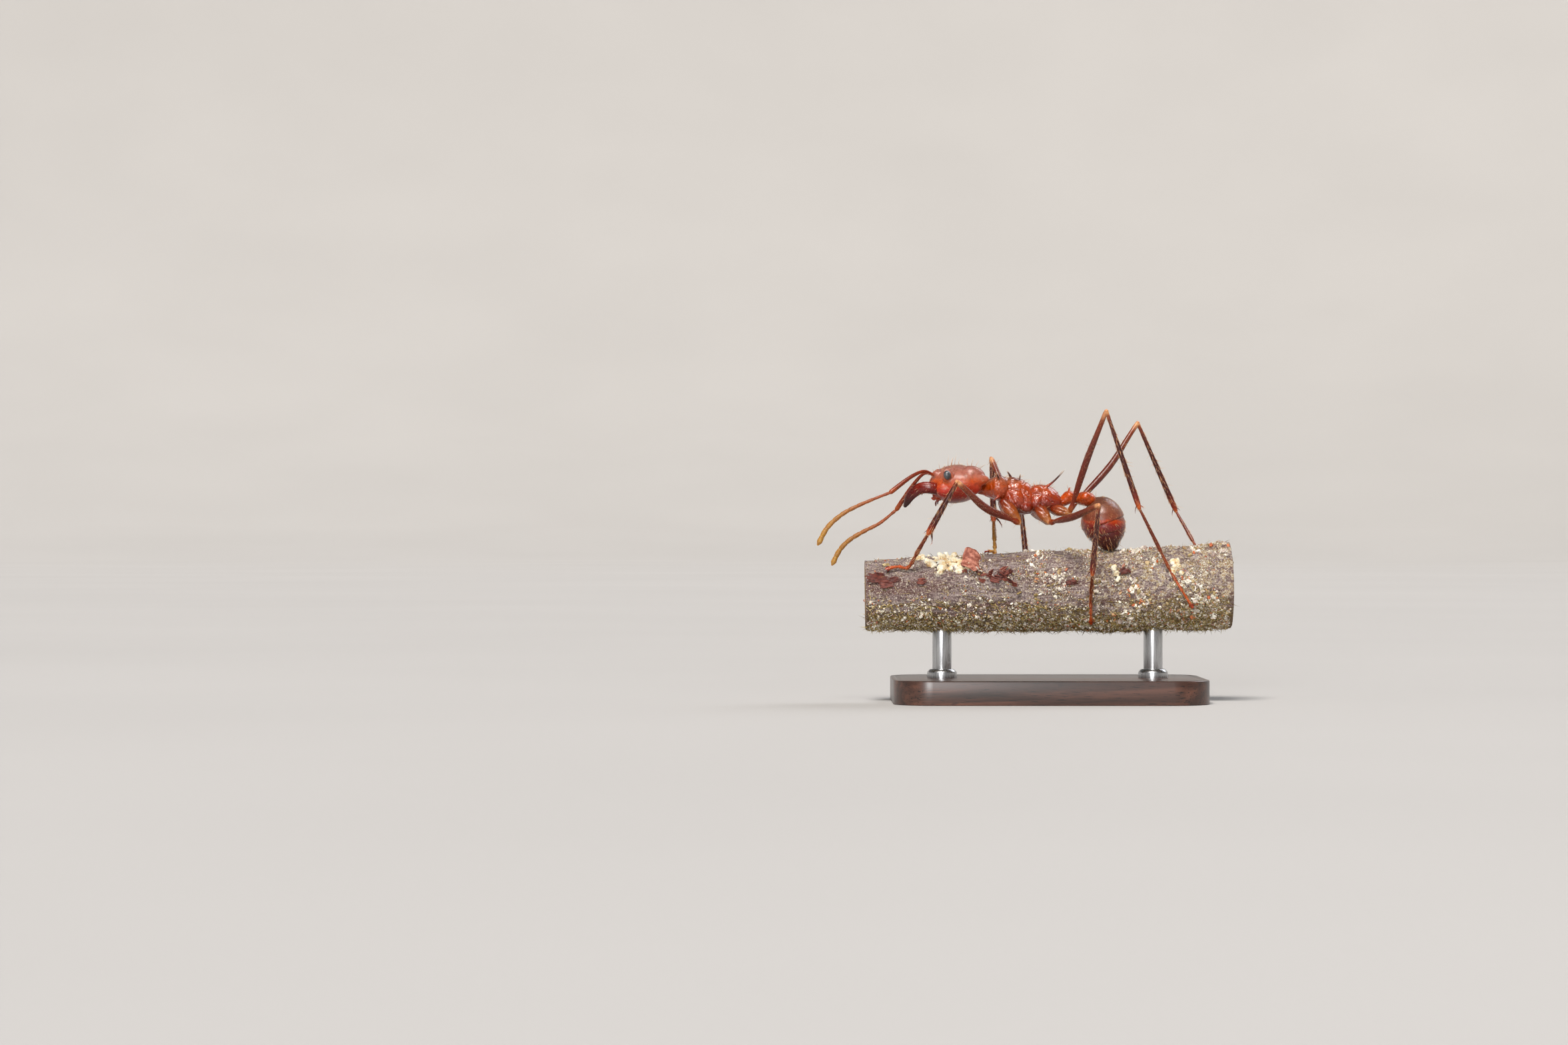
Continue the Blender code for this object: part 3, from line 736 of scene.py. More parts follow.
def make_hair_material():
    """Setae: hollow bristles of amber chitin, dark at the root and pale where they thin out to the tip."""
    material, tree, place = new_material("seta_chitin_gold")
    along = add(tree, "ShaderNodeAttribute", attribute_name="along").outputs["Fac"]
    tone = add(tree, "ShaderNodeAttribute", attribute_name="tone").outputs["Fac"]
    mixed = add(tree, "ShaderNodeMath", {0: tone, 1: 0.35, 2: along}, operation="MULTIPLY_ADD")
    colour = add(
        tree, "ShaderNodeValToRGB", {"Fac": mixed},
        [(0.0, "#8c4424"), (0.4, "#bc7648"), (0.8, "#d8a474"), (1.0, "#ecc8a0")],
    )
    ripple = add(tree, "ShaderNodeTexNoise", {"Vector": place, "Scale": 20.0})
    return surfaced(
        material, colour, ripple, (0.3, 0.5), IOR=1.55,
        Subsurface_Weight=0.3, Subsurface_Radius=(1.0, 0.5, 0.2), Subsurface_Scale=0.05 / METRE,
    )


def make_bark_material():
    """Weathered bark: dead cork cells in fine wrinkles along the twig, dusted with mineral grit and lichen crust,
    and stained and mossy where water hangs below."""
    material, tree, place = new_material("twig_bark_weathered")
    fibres = add(tree, "ShaderNodeMapping", {"Vector": place, "Scale": (0.14, 1.0, 1.0)})
    grain = add(tree, "ShaderNodeTexNoise", {"Vector": fibres, "Scale": 11.0, "Detail": 8.0, "Roughness": 0.72})
    patches = add(tree, "ShaderNodeTexNoise", {"Vector": fibres, "Scale": 1.5, "Detail": 6.0, "Roughness": 0.6})
    speckle = add(tree, "ShaderNodeTexNoise", {"Vector": place, "Scale": 15.0, "Detail": 5.0, "Roughness": 0.65})
    crust = add(tree, "ShaderNodeTexNoise", {"Vector": place, "Scale": 4.2, "Detail": 9.0, "Roughness": 0.76})
    # The lichen crust spreads towards the thick end of the twig.
    ends = add(tree, "ShaderNodeSeparateXYZ", {0: place})
    spread = add(
        tree, "ShaderNodeMapRange", {"Value": ends.outputs["X"], "From Min": -2.0, "From Max": 5.0, "To Max": 0.075}
    )
    grown = add(tree, "ShaderNodeMath", {0: crust, 1: spread}, operation="ADD")
    lichen = add(
        tree, "ShaderNodeValToRGB", {"Fac": speckle}, [(0.38, "#a4804a"), (0.5, "#c8b698"), (0.62, "#e8e0d0")]
    )
    form = add(tree, "ShaderNodeNewGeometry")
    under = add(tree, "ShaderNodeSeparateXYZ", {0: form.outputs["Normal"]})
    colour = add(
        tree, "ShaderNodeValToRGB", {"Fac": grain},
        [(0.3, "#423234"), (0.42, "#705c5a"), (0.53, "#94807e"), (0.68, "#c4b4b0")],
    )
    # Brown patches, pale dust, dark pits, the lichen, and the damp stain below, each over the one before.
    colour = stained(tree, colour, linear("#6c4a44"), patches, 0.48, 0.60, 0.75)
    colour = stained(tree, colour, linear("#d6cab8"), speckle, 0.54, 0.62, 0.8)
    colour = stained(tree, colour, linear("#2c2020"), speckle, 0.43, 0.36, 0.8)
    colour = stained(tree, colour, lichen, grown, 0.56, 0.62, 0.9)
    colour = stained(tree, colour, linear("#6a5430"), under.outputs["Z"], -0.25, -0.7, 0.8)
    height = add(tree, "ShaderNodeMath", {0: grain, 1: crust}, operation="ADD")
    height = add(tree, "ShaderNodeMath", {0: height, 1: speckle}, operation="ADD")
    return surfaced(material, colour, grain, (0.7, 0.95), (height, 1.0, 0.10), IOR=1.45)


def make_cut_wood_material():
    """The sawn end of the twig: pale sapwood in yearly rings round a dark pith, with fine rays and scoring."""
    material, tree, place = new_material("twig_end_grain_sawn")
    flat = add(
        tree, "ShaderNodeMapping",
        {"Vector": place, "Location": (0, 0, -TWIG_AXIS_Z), "Scale": (0.0, 1.0, 1.0)},
    )
    rings = add(
        tree, "ShaderNodeTexWave",
        {"Vector": flat, "Scale": 0.62, "Distortion": 0.9, "Detail": 3.0, "Detail Scale": 1.4, "Phase Offset": 1.5},
        wave_type="RINGS", rings_direction="X",
    )
    late = add(tree, "ShaderNodeMath", {0: rings.outputs["Fac"], 1: 4.0}, operation="POWER")
    colour = add(tree, "ShaderNodeValToRGB", {"Fac": late}, [(0.0, "#b89a70"), (0.5, "#a8865c"), (1.0, "#86633f")])
    spokes = add(tree, "ShaderNodeTexNoise", {"Vector": flat, "Scale": 7.0, "Detail": 6.0, "Roughness": 0.7})
    colour = shaded(tree, colour, spokes, 0.8, [(0.32, "#8c7a66"), (0.6, "#ffffff")])
    # The pith at the middle and the inner bark at the rim, by how far out they lie in millimetres.
    reach = add(tree, "ShaderNodeVectorMath", {0: flat}, operation="LENGTH")
    colour = stained(tree, colour, linear("#4a3322"), reach, 0.26, 0.16)
    colour = stained(tree, colour, linear("#5c3c2a"), reach, 1.26, 1.36)
    relief = add(tree, "ShaderNodeMath", {0: spokes, 1: late}, operation="SUBTRACT")
    return surfaced(material, colour, spokes, (0.65, 0.85), (relief, 0.6, 0.03))


def make_grit_material():
    """Mineral grit and lichen crumbs stuck to bark: each its own tone, from quartz white to rust."""
    material, tree, place = new_material("bark_grit_mineral")
    tone = add(tree, "ShaderNodeAttribute", attribute_name="tone").outputs["Fac"]
    colour = add(
        tree, "ShaderNodeValToRGB", {"Fac": tone},
        [(0.0, "#3a2a18"), (0.16, "#6e5a34"), (0.32, "#9a8450"), (0.45, "#c6b288"), (0.50, "#c8642c"),
         (0.54, "#a48e84"), (0.68, "#d2c6ba"), (0.82, "#e8dfce"), (1.0, "#fcf6ea")],
    )
    dust = add(tree, "ShaderNodeTexNoise", {"Vector": place, "Scale": 18.0, "Detail": 4.0})
    colour = shaded(tree, colour, dust, 0.8, [(0.3, "#a09488"), (0.6, "#ffffff")])
    return surfaced(
        material, colour, dust, (0.5, 0.85), (dust, 0.6, 0.03),
        Subsurface_Weight=0.1, Subsurface_Scale=0.1 / METRE,
    )


def make_fibre_material():
    """Dead moss and bark fibre hanging in the damp: dull straw to dark umber, one tone for each strand."""
    material, tree, place = new_material("moss_fibre_dead")
    tone = add(tree, "ShaderNodeAttribute", attribute_name="tone").outputs["Fac"]
    colour = add(
        tree, "ShaderNodeValToRGB", {"Fac": tone},
        [(0.0, "#4c3818"), (0.35, "#8c7034"), (0.65, "#baa258"), (1.0, "#e4d49c")],
    )
    streak = add(tree, "ShaderNodeTexNoise", {"Vector": place, "Scale": 16.0, "Detail": 3.0})
    colour = shaded(tree, colour, streak, 0.7, [(0.3, "#8c8478"), (0.62, "#ffffff")])
    return surfaced(material, colour, streak, (0.65, 0.9))


def make_crust_material():
    """Dried lichen crust: porous, chalky and cream, a darker honey colour in its hollows, and light soaks into it."""
    material, tree, place = new_material("lichen_crust_chalky")
    lumps = add(tree, "ShaderNodeTexNoise", {"Vector": place, "Scale": 3.2, "Detail": 7.0, "Roughness": 0.65})
    colour = add(
        tree, "ShaderNodeValToRGB", {"Fac": lumps},
        [(0.32, "#c08450"), (0.42, "#dcc090"), (0.52, "#eee2c6"), (0.66, "#faf4e6")],
    )
    form = add(tree, "ShaderNodeNewGeometry")
    # Darker honey in the concave hollows.
    colour = stained(tree, colour, linear("#b08452"), form.outputs["Pointiness"], 0.49, 0.42, 0.85)
    crumble = add(tree, "ShaderNodeTexNoise", {"Vector": place, "Scale": 16.0, "Detail": 5.0, "Roughness": 0.7})
    return surfaced(
        material, colour, crumble, (0.55, 0.9), (crumble, 1.0, 0.06),
        Subsurface_Weight=0.3, Subsurface_Radius=(1.0, 0.7, 0.4), Subsurface_Scale=0.15 / METRE,
    )


def make_flake_material():
    """Loose outer bark: thin papery scales of dry cork, dark red-brown where fresh and pinkish where weathered."""
    material, tree, place = new_material("bark_flake_cork")
    age = add(tree, "ShaderNodeAttribute", attribute_name="tone").outputs["Fac"]
    fibres = add(tree, "ShaderNodeTexNoise", {"Vector": place, "Scale": 7.0, "Detail": 6.0})
    mixed = add(tree, "ShaderNodeMath", {0: fibres, 1: 0.7, 2: age}, operation="MULTIPLY_ADD")
    colour = add(
        tree, "ShaderNodeValToRGB", {"Fac": mixed},
        [(0.3, "#32120e"), (0.55, "#642c22"), (0.85, "#844838"), (1.0, "#bc806c")],
    )
    return surfaced(
        material, colour, fibres, (0.5, 0.8), (fibres, 0.7, 0.04),
        Subsurface_Weight=0.3, Subsurface_Radius=(1.0, 0.5, 0.35), Subsurface_Scale=0.15 / METRE,
    )


def make_base_material():
    """Stained and waxed walnut: straight grain along the base, fine dark pores, satin wax."""
    material, tree, place = new_material("base_walnut_waxed")
    board = add(tree, "ShaderNodeMapping", {"Vector": place, "Scale": (0.08, 1.0, 1.0)})
    figure = add(
        tree, "ShaderNodeTexNoise",
        {"Vector": board, "Scale": 1.4, "Detail": 7.0, "Roughness": 0.62, "Distortion": 0.6},
    )
    colour = add(
        tree, "ShaderNodeValToRGB", {"Fac": figure}, [(0.32, "#1e120d"), (0.5, "#3c241b"), (0.66, "#5c392b")]
    )
    pores = add(tree, "ShaderNodeTexNoise", {"Vector": board, "Scale": 20.0, "Detail": 3.0})
    colour = stained(tree, colour, linear("#140b08"), pores, 0.42, 0.34)
    return surfaced(
        material, colour, figure, (0.3, 0.42), (figure, 0.15, 0.02), Coat_Weight=0.3, Coat_Roughness=0.25
    )


def make_steel_material():
    """Drawn stainless steel pin: bright, with fine scoring along its length from the die."""
    material, tree, place = new_material("pin_steel_drawn")
    lines = add(tree, "ShaderNodeMapping", {"Vector": place, "Scale": (1.0, 1.0, 0.03)})
    score = add(tree, "ShaderNodeTexNoise", {"Vector": lines, "Scale": 26.0, "Detail": 4.0})
    colour = add(tree, "ShaderNodeValToRGB", {"Fac": score}, [(0.3, "#a3a4a6"), (0.7, "#c9cacb")])
    return surfaced(material, colour, score, (0.2, 0.36), (score, 0.2, 0.005), Metallic=1.0)


# ---------------------------------------------------------------- head


def make_head(chitin):
    """The head capsule: two lobes drawn out behind, each with a spine, and a face of swellings and furrows."""
    shell = drawn_out(domed(HEAD_RINGS, 0.55, 0.45), 20)
    # Pulled in along the middle of its rear, which leaves the two lobes.
    with editing(shell, chosen=lambda v: v.co.x > -2.62 and abs(v.co.y) < 0.12):
        bpy.ops.transform.translate(
            value=(-0.62, 0, 0), use_proportional_edit=True, proportional_edit_falloff="SMOOTH",
            proportional_size=0.78,
        )
    swellings = [
        *pair(lump, [(-4.55, 0.42, 9.42)], (0.60, 0.36, 0.38), (0, 25, 0)),
        *pair(lump, [(-4.24, 0.76, 8.84)], (0.92, 0.56, 0.74), (0, 10, 0)),
        *pair(lump, [(-3.22, 0.70, 9.18)], (0.90, 0.84, 1.16), (0, -20, 0)),
        *pair(lump, [(-3.14, 0.62, 9.42)], (1.10, 0.84, 0.80), (0, 18, 0)),
        *pair(lump, [(-4.20, 1.00, 9.42)], (0.50, 0.34, 0.56), (0, -12, 0)),
        lump((-4.68, 0, 9.04), (0.40, 0.86, 0.56), (0, -20, 0)),
        lump((-4.40, 0, 9.48), (0.70, 0.36, 0.40), (0, 20, 0)),
    ]
    spines = [
        *pair(spine, [(-3.34, 0.70, 9.20), (-2.48, 0.92, 9.27)], 1.08, 0.0, 0.70),
        *pair(spine, [(-4.28, 0.70, 9.66), (-4.36, 0.80, 9.92)], 0.14),
        *pair(spine, [(-3.02, 0.60, 9.62), (-2.92, 0.64, 9.78)], 0.10),
    ]
    shell = fused([shell, *swellings, *spines], 0.028, 6)
    worked(shell, [(-3.15, 0, 9.8), (-3.6, 0, 9.95), (-4.3, 0, 9.8)], -0.03, 0.045)
    round_eye = [
        Vector(EYE_PLACE) + Vector((0.19 * math.cos(a), 0, 0.24 * math.sin(a)))
        for a in np.linspace(0, 2 * math.pi, 13)
    ]
    worked_in_pairs(
        shell,
        ([(-4.50, 0.56, 9.60), (-4.1, 0.62, 9.82), (-3.8, 0.60, 9.9)], 0.03, 0.045),
        ([(-4.45, 0.78, 9.62), (-4.0, 0.84, 9.75)], -0.04, 0.10),
        ([(-4.40, 0.96, 9.20), (-4.62, 0.78, 8.92)], -0.02, 0.04),
        ([(-4.80, 0.48, 8.86), (-4.80, 0.28, 9.26)], -0.03, 0.04),
        ([(-4.78, 0.42, 9.46)], -0.10, 0.10),
        (round_eye, -0.03, 0.035),
    )
    worked(shell, [(-3.1, 0, 8.5), (-4.4, 0, 8.3)], -0.03, 0.05)
    roughened(shell, 0.5, 0.012)
    return finished(shell, "head_capsule", chitin["head"], "red_brown_chitin", "head")


def make_eyes(material):
    """Compound eyes: the points of a fine geodesic ball cut to six-sided facets, each raised as a lens."""
    eye = begin(bpy.ops.mesh.primitive_ico_sphere_add, subdivisions=4, radius=0.5)
    with editing(eye):
        bpy.ops.mesh.bevel(offset_type="PERCENT", offset_pct=46, affect="VERTICES")
    with editing(eye, "FACE", chosen=lambda face: len(face.vertices) > 4):
        for inset, raised in ((0.006, 0.004), (0.008, 0.002)):
            bpy.ops.mesh.inset(thickness=inset, use_individual=True)
            bpy.ops.transform.shrink_fatten(value=raised)
    for tag, side in SIDES.items():
        lens = copied(eye)
        lens.scale = EYE_SIZE
        lens.rotation_euler = (0, math.radians(-12), 0)
        lens.location = (EYE_PLACE[0], side * (EYE_PLACE[1] + 0.02), EYE_PLACE[2])
        settle(lens)
        finished(lens, f"eye_{tag}_facets", material, "eye_facets", f"eye_{tag}")
    removed(eye)


MANDIBLE_LINE = [
    (-4.42, 0.60, 8.80), (-4.92, 0.74, 8.92), (-5.34, 0.66, 8.88), (-5.70, 0.48, 8.60), (-5.96, 0.28, 8.12),
]
# The width and the depth of a mandible's blade at each share of its length.
MANDIBLE_PROFILE = (
    (0, .30, .40), (.14, .40, .50), (.3, .34, .50), (.5, .27, .50), (.7, .21, .44), (.85, .17, .34),
    (.95, .12, .22), (1, .07, .11),
)
TEETH = 9


def make_mandibles(chitin):
    """Each jaw: a stout hinge that flattens to a curved blade, with a row of teeth along its inner edge."""
    made = []
    for tag, side in SIDES.items():
        line = smooth_line([(x, side * y, z) for x, y, z in MANDIBLE_LINE])
        length = length_of(line)
        rings = [(share * length, 0, wide, deep) for share, wide, deep in MANDIBLE_PROFILE]
        blade = bent(drawn_out(domed(rings, 0.8, 0.4), 14), line)
        teeth = []
        for k in range(TEETH):
            # The teeth grow smaller towards the tip, and every other one is smaller still.
            at = line[round((0.36 + 0.066 * k) * (len(line) - 1))]
            inward = Vector((-0.10, -side * 0.32, -0.30 + 0.02 * k))
            size = 1.0 - 0.06 * (k % 2) - 0.03 * k
            teeth.append(spine(at + inward * 0.55, at + inward * (0.55 + 0.62 * size), 0.13 * size))
        jaw = fused([blade, *teeth], 0.02, 3)
        worked(jaw, [p + Vector((0, side * 0.2, 0.16)) for p in (line[4], line[12], line[18])], -0.02, 0.05)
        roughened(jaw, 0.2, 0.012)
        made.append(finished(jaw, f"mandible_{tag}_blade", chitin["jaw"], "dark_chitin", f"mandible_{tag}"))
    return made


def limb(profile, points, sides=12, start=0.8, end=0.8, levels=2, size=1.0):
    """A round limb part: its thickness at each share of its length, bent onto the smooth line through points."""
    line = smooth_line(points)
    length = length_of(line)
    rings = [(share * length, 0, thick * size, thick * size) for share, thick in profile]
    return bent(marked_along(drawn_out(domed(rings, start, end), sides, levels), length), line)


def make_mouthparts(chitin):
    """Upper lip and the two pairs of jointed feelers below the jaws."""
    lip = fused([*pair(lump, [(-4.84, 0.15, 8.80)], (0.34, 0.34, 0.16), (0, 50, 0)),
                 lump((-4.80, 0, 8.86), (0.30, 0.40, 0.14), (0, 50, 0))], 0.015, 3)
    tongue = fused([*pair(lump, [(-4.60, 0.09, 8.54)], (0.44, 0.24, 0.28), (0, 30, 0)),
                    lump((-4.76, 0, 8.46), (0.20, 0.16, 0.12), (0, 30, 0))], 0.015, 3)
    worked_in_pairs(tongue, ([(-4.50, 0.2, 8.44), (-4.72, 0.16, 8.40)], -0.02, 0.03))
    feelers = []
    for side in SIDES.values():
        feelers.append(limb(
            [(0, .05), (.2, .09), (.36, .05), (.42, .09), (.62, .05), (.68, .085), (.92, .05), (1, .03)],
            [(-4.46, side * 0.26, 8.50), (-4.64, side * 0.28, 8.34), (-4.66, side * 0.28, 8.16)], 8,
        ))
        feelers.append(limb(
            [(0, .05), (.4, .08), (.5, .045), (.6, .075), (1, .03)],
            [(-4.44, side * 0.10, 8.48), (-4.56, side * 0.11, 8.36), (-4.58, side * 0.11, 8.24)], 8,
        ))
    whole = roughened(joined(*feelers, lip, tongue), 0.1, 0.008)
    return finished(whole, "mouthparts", chitin["claw"], "dark_chitin")


SCAPE_PROFILE = [
    (0, .13), (.025, .17), (.055, .10), (.10, .105), (.25, .14), (.55, .17), (.82, .20), (.95, .215), (.985, .20),
    (1, .15),
]
# The whip's first, bell-shaped segment, and then how many more it has and how thick the last of them is.
WHIP_ROOT_PROFILE = [(0, .09), (.02, .12), (.05, .15), (.075, .11)]
WHIP_SEGMENTS = 9


def make_antennae(chitin):
    """Elbowed antennae: a long scape on a ball joint, then ten short segments that thicken to a loose club."""
    made = {}
    whip_profile = list(WHIP_ROOT_PROFILE)
    cuts = np.linspace(0.085, 1.0, WHIP_SEGMENTS + 1)
    for k, (near, far) in enumerate(zip(cuts, cuts[1:])):
        wide = 0.125 + 0.105 * (k / (WHIP_SEGMENTS - 1)) ** 0.8
        span = far - near
        whip_profile += [
            (near, wide * 0.80), (near + span * 0.2, wide * 0.97), (near + span * 0.78, wide * 1.04),
            (far - span * 0.07, wide * 0.96), (far - 0.001, wide * 0.80),
        ]
    whip_profile[-2:] = [(0.975, 0.19), (1.0, 0.10)]
    for tag in SIDES:
        for part, node, profile, points, end, finish, slot in (
            ("scape", "scape", SCAPE_PROFILE, SCAPES[tag], 0.8, chitin["scape"], "red_brown_chitin"),
            ("whip", "funiculus", whip_profile, WHIPS[tag], 0.9, chitin["whip"], "tawny_chitin"),
        ):
            bar = limb(profile, points, end=end)
            made[f"{part}_{tag}"] = finished(bar, f"antenna_{tag}_{part}", finish, slot, f"{node}_{tag}")
    return made


# ---------------------------------------------------------------- trunk


def make_pronotum(chitin):
    """The neck and the first shield of the trunk, with the shoulders that carry the front horns."""
    shell = drawn_out(domed(PRONOTUM_RINGS, 0.4, 0.3), 18)
    parts = [
        *pair(lump, [(-2.04, 0.36, 8.94)], (0.84, 0.66, 0.92)),
        *pair(spine, [(-2.04, 0.46, 9.14), (-2.12, 0.78, 9.38)], 0.24),
        *pair(spine, [(-2.12, 0.60, 8.50), (-2.30, 0.78, 8.36)], 0.18),
    ]
    shell = fused([shell, *parts], 0.026, 6)
    worked_in_pairs(shell, ([(-2.36, 0.5, 8.6), (-2.30, 0.55, 9.0), (-2.36, 0.3, 9.4)], -0.03, 0.05))
    worked(shell, [(-2.3, 0, 9.4), (-1.85, 0, 9.45)], -0.03, 0.07)
    roughened(shell, 0.35, 0.02)
    roughened(shell, 0.11, 0.035)
    return finished(shell, "pronotum_plate", chitin["thorax"], "red_brown_chitin", "pronotum")


def make_mesothorax(chitin):
    """The middle of the trunk: its hump, the plates of its sides with the seams between them, and fine ribs."""
    shell = drawn_out(domed(MESOTHORAX_RINGS, 0.1, 0.4), 18)
    parts = [
        *pair(lump, [(-1.46, 0.26, 9.16)], (0.52, 0.42, 0.42)),
        *pair(lump, [(-1.12, 0.24, 8.98)], (0.44, 0.36, 0.40)),
        *pair(lump, [(-1.34, 0.42, 8.44)], (0.80, 0.44, 0.98), (0, 34, 0)),
        *pair(lump, [(-0.94, 0.40, 8.12)], (0.60, 0.38, 0.44), (0, 30, 0)),
        *pair(spine, [(-1.52, 0.26, 9.28), (-1.60, 0.30, 9.46)], 0.20),
        *pair(spine, [(-1.18, 0.24, 9.08), (-1.16, 0.28, 9.30)], 0.17),
    ]
    shell = fused([shell, *parts], 0.026, 5)
    ribs = []
    for k in range(4):
        high = 8.72 - 0.13 * k
        ribs.append((
            [(-1.52 + 0.05 * k, 0.66, high), (-1.26, 0.66, high - 0.16), (-1.04, 0.62, high - 0.40)], 0.018, 0.03
        ))
    worked_in_pairs(
        shell,
        ([(-1.74, 0.6, 8.9), (-1.30, 0.6, 8.86), (-0.80, 0.6, 8.62)], -0.05, 0.045),
        ([(-1.12, 0.6, 8.86), (-0.98, 0.6, 8.40), (-1.10, 0.6, 8.0)], -0.04, 0.045),
        ([(-1.62, 0.6, 8.62), (-1.40, 0.66, 8.20)], -0.03, 0.05),
        ([(-0.94, 0.5, 8.74)], -0.06, 0.05),
        *ribs,
    )
    worked(shell, [(-1.02, -0.4, 9.1), (-0.96, 0, 9.1), (-1.02, 0.4, 9.1)], -0.05, 0.06)
    roughened(shell, 0.3, 0.03)
    roughened(shell, 0.11, 0.035)
    return finished(shell, "mesothorax_plates", chitin["thorax"], "red_brown_chitin", "mesothorax")


def make_propodeum(chitin):
    """The rear of the trunk: its breathing holes in raised rims, seams, ribs, and the feet of the rear horns."""
    shell = drawn_out(domed(PROPODEUM_RINGS, 0.1, 0.4), 18)
    parts = [
        *pair(lump, [(-0.46, 0.28, 8.78)], (0.60, 0.44, 0.44), (0, -16, 0)),
        *pair(lump, [(-0.04, 0.34, 8.50)], (0.74, 0.40, 0.66), (0, 30, 0)),
        *pair(lump, [(-0.48, 0.44, 8.34)], (0.52, 0.34, 0.62), (0, 26, 0)),
        *pair(spine, [(-0.16, 0.28, 8.86), (0.14, 0.38, 9.14)], 0.20),
        *pair(spine, [(-0.54, 0.24, 8.98), (-0.54, 0.28, 9.14)], 0.14),
    ]
    shell = fused([shell, *parts], 0.026, 5)
    hole_rim = [
        (0.02 + 0.06 * math.cos(a), 0.6, 8.66 + 0.06 * math.sin(a)) for a in np.linspace(0, 2 * math.pi, 9)
    ]
    ribs = [
        ([(-0.14 + 0.12 * k, 0.6, 8.44 - 0.05 * k), (0.12 * k, 0.56, 8.16)], 0.018, 0.03) for k in range(3)
    ]
    worked_in_pairs(
        shell,
        (hole_rim, 0.02, 0.025),
        ([(0.02, 0.6, 8.66)], -0.07, 0.035),
        ([(-0.66, 0.6, 8.70), (-0.2, 0.6, 8.62), (0.2, 0.6, 8.3)], -0.04, 0.045),
        ([(-0.24, 0.6, 8.60), (-0.26, 0.6, 8.1)], -0.035, 0.04),
        *ribs,
    )
    roughened(shell, 0.3, 0.03)
    roughened(shell, 0.11, 0.035)
    return finished(shell, "propodeum_plates", chitin["thorax"], "red_brown_chitin", "propodeum")


def make_thorns(chitin):
    """The trunk's long horns, dark from a little above the root and pale at the tip, partly where they thin out and
    partly a painted highlight.
    """
    horns = [
        *pair(spine, [(-2.06, 0.56, 9.22), (-2.16, 0.95, 9.54)], 0.15, 0.03),
        *pair(spine, [(-1.54, 0.27, 9.34), (-1.70, 0.34, 9.64)], 0.12, 0.02),
        *pair(spine, [(-1.18, 0.25, 9.14), (-1.12, 0.32, 9.52)], 0.10, 0.02),
        *pair(spine, [(-0.04, 0.32, 8.97), (0.72, 0.56, 9.70)], 0.10, -0.05),
    ]
    return finished(joined(*horns), "trunk_horns", chitin["thorn"], "red_brown_chitin")


def make_waist(chitin):
    """The two narrow segments between trunk and gaster."""
    petiole = drawn_out(domed(PETIOLE_RINGS, 0.4, 0.4), 16)
    parts = [
        *pair(spine, [(0.88, 0.16, 8.76), (0.94, 0.24, 8.98)], 0.15),
        *pair(lump, [(0.90, 0.20, 8.60)], (0.34, 0.26, 0.30)),
        *pair(spine, [(0.86, 0.26, 8.56), (0.92, 0.40, 8.62)], 0.12),
    ]
    petiole = roughened(fused([petiole, *parts], 0.02, 5), 0.15, 0.02)
    petiole = finished(petiole, "petiole_node", chitin["waist"], "red_brown_chitin", "petiole")
    post = drawn_out(domed(POSTPETIOLE_RINGS, 0.4, 0.4), 16)
    parts = [
        *pair(lump, [(1.58, 0.32, 8.54)], (0.48, 0.42, 0.40)),
        *pair(spine, [(1.56, 0.40, 8.62), (1.66, 0.56, 8.72)], 0.14),
    ]
    post = fused([post, *parts], 0.022, 5)
    worked(post, [(1.36, 0, 8.9), (1.86, 0, 8.8)], -0.03, 0.06)
    roughened(post, 0.15, 0.02)
    post = finished(post, "postpetiole_node", chitin["waist"], "red_brown_chitin", "postpetiole")
    return petiole, post


def make_gaster(chitin):
    """Four plates, each slipped a little under the rim of the one before."""
    line = smooth_line(GASTER_RINGS, 12)

    def ring_at(share, size=1.0):
        at = share * (len(line) - 1)
        low = min(int(at), len(line) - 2)
        x, z, width, depth = line[low].lerp(line[low + 1], at - low)
        return x, z, width * size, depth * size

    made = []
    last = len(GASTER_CUTS) - 2
    for i, (near, far) in enumerate(zip(GASTER_CUTS, GASTER_CUTS[1:])):
        first = i == 0
        count = 9 if first else 4
        rings = [ring_at(near)] if first else [ring_at(near - 0.03, 0.90), ring_at(near - 0.008, 0.955)]
        for k in range(1, count):
            # Where it comes out from under the rim before it, a plate is a little slimmer.
            rings.append(ring_at(near + (far - near) * k / count, 0.988 if k == 1 and not first else 1.0))
        if i < last:
            rings += [ring_at(far - 0.012, 1.012), ring_at(far), ring_at(far + 0.004, 0.93)]
        else:
            rings.append(ring_at(far))
        plate = drawn_out(domed(rings, 0.3 if first else 0.05, 0.6 if i == last else 0.05), 28)
        plate = roughened(fused([plate], 0.03, 3), 0.5, 0.02)
        made.append(finished(
            plate, f"gaster_plate_{i + 1}", chitin["gaster"], "gaster_chitin", f"gaster_segment_{i + 1}"
        ))
    return made


# ---------------------------------------------------------------- legs


def faced(piece, origin, ahead, up):
    """Lays a piece modelled along +X, with +Z its upper side, at origin, facing ahead with its top to up."""
    ahead = ahead.normalized()
    across = up.cross(ahead).normalized()
    up = ahead.cross(across)
    turn = Matrix((ahead, across, up)).transposed().to_4x4()
    piece.matrix_world = Matrix.Translation(origin) @ turn
    return settle(piece)


def make_hook():
    """One claw, curving forward and down."""
    rings = []
    for k, thickness in enumerate((0.085, 0.08, 0.07, 0.058, 0.044, 0.028, 0.012)):
        angle = math.radians(14 * k)
        rings.append((HOOK_RADIUS * math.sin(angle), -HOOK_RADIUS * (1 - math.cos(angle)), thickness, thickness))
    return marked_along(drawn_out(domed(rings, 0.3, 0.4), 10, 1), HOOK_RADIUS)


def away_from_twig(place):
    """The way that points straight out of the bark at this place."""
    centre = twig_centre(place.x)
    return Vector((0, place.y, place.z - centre.z)).normalized()


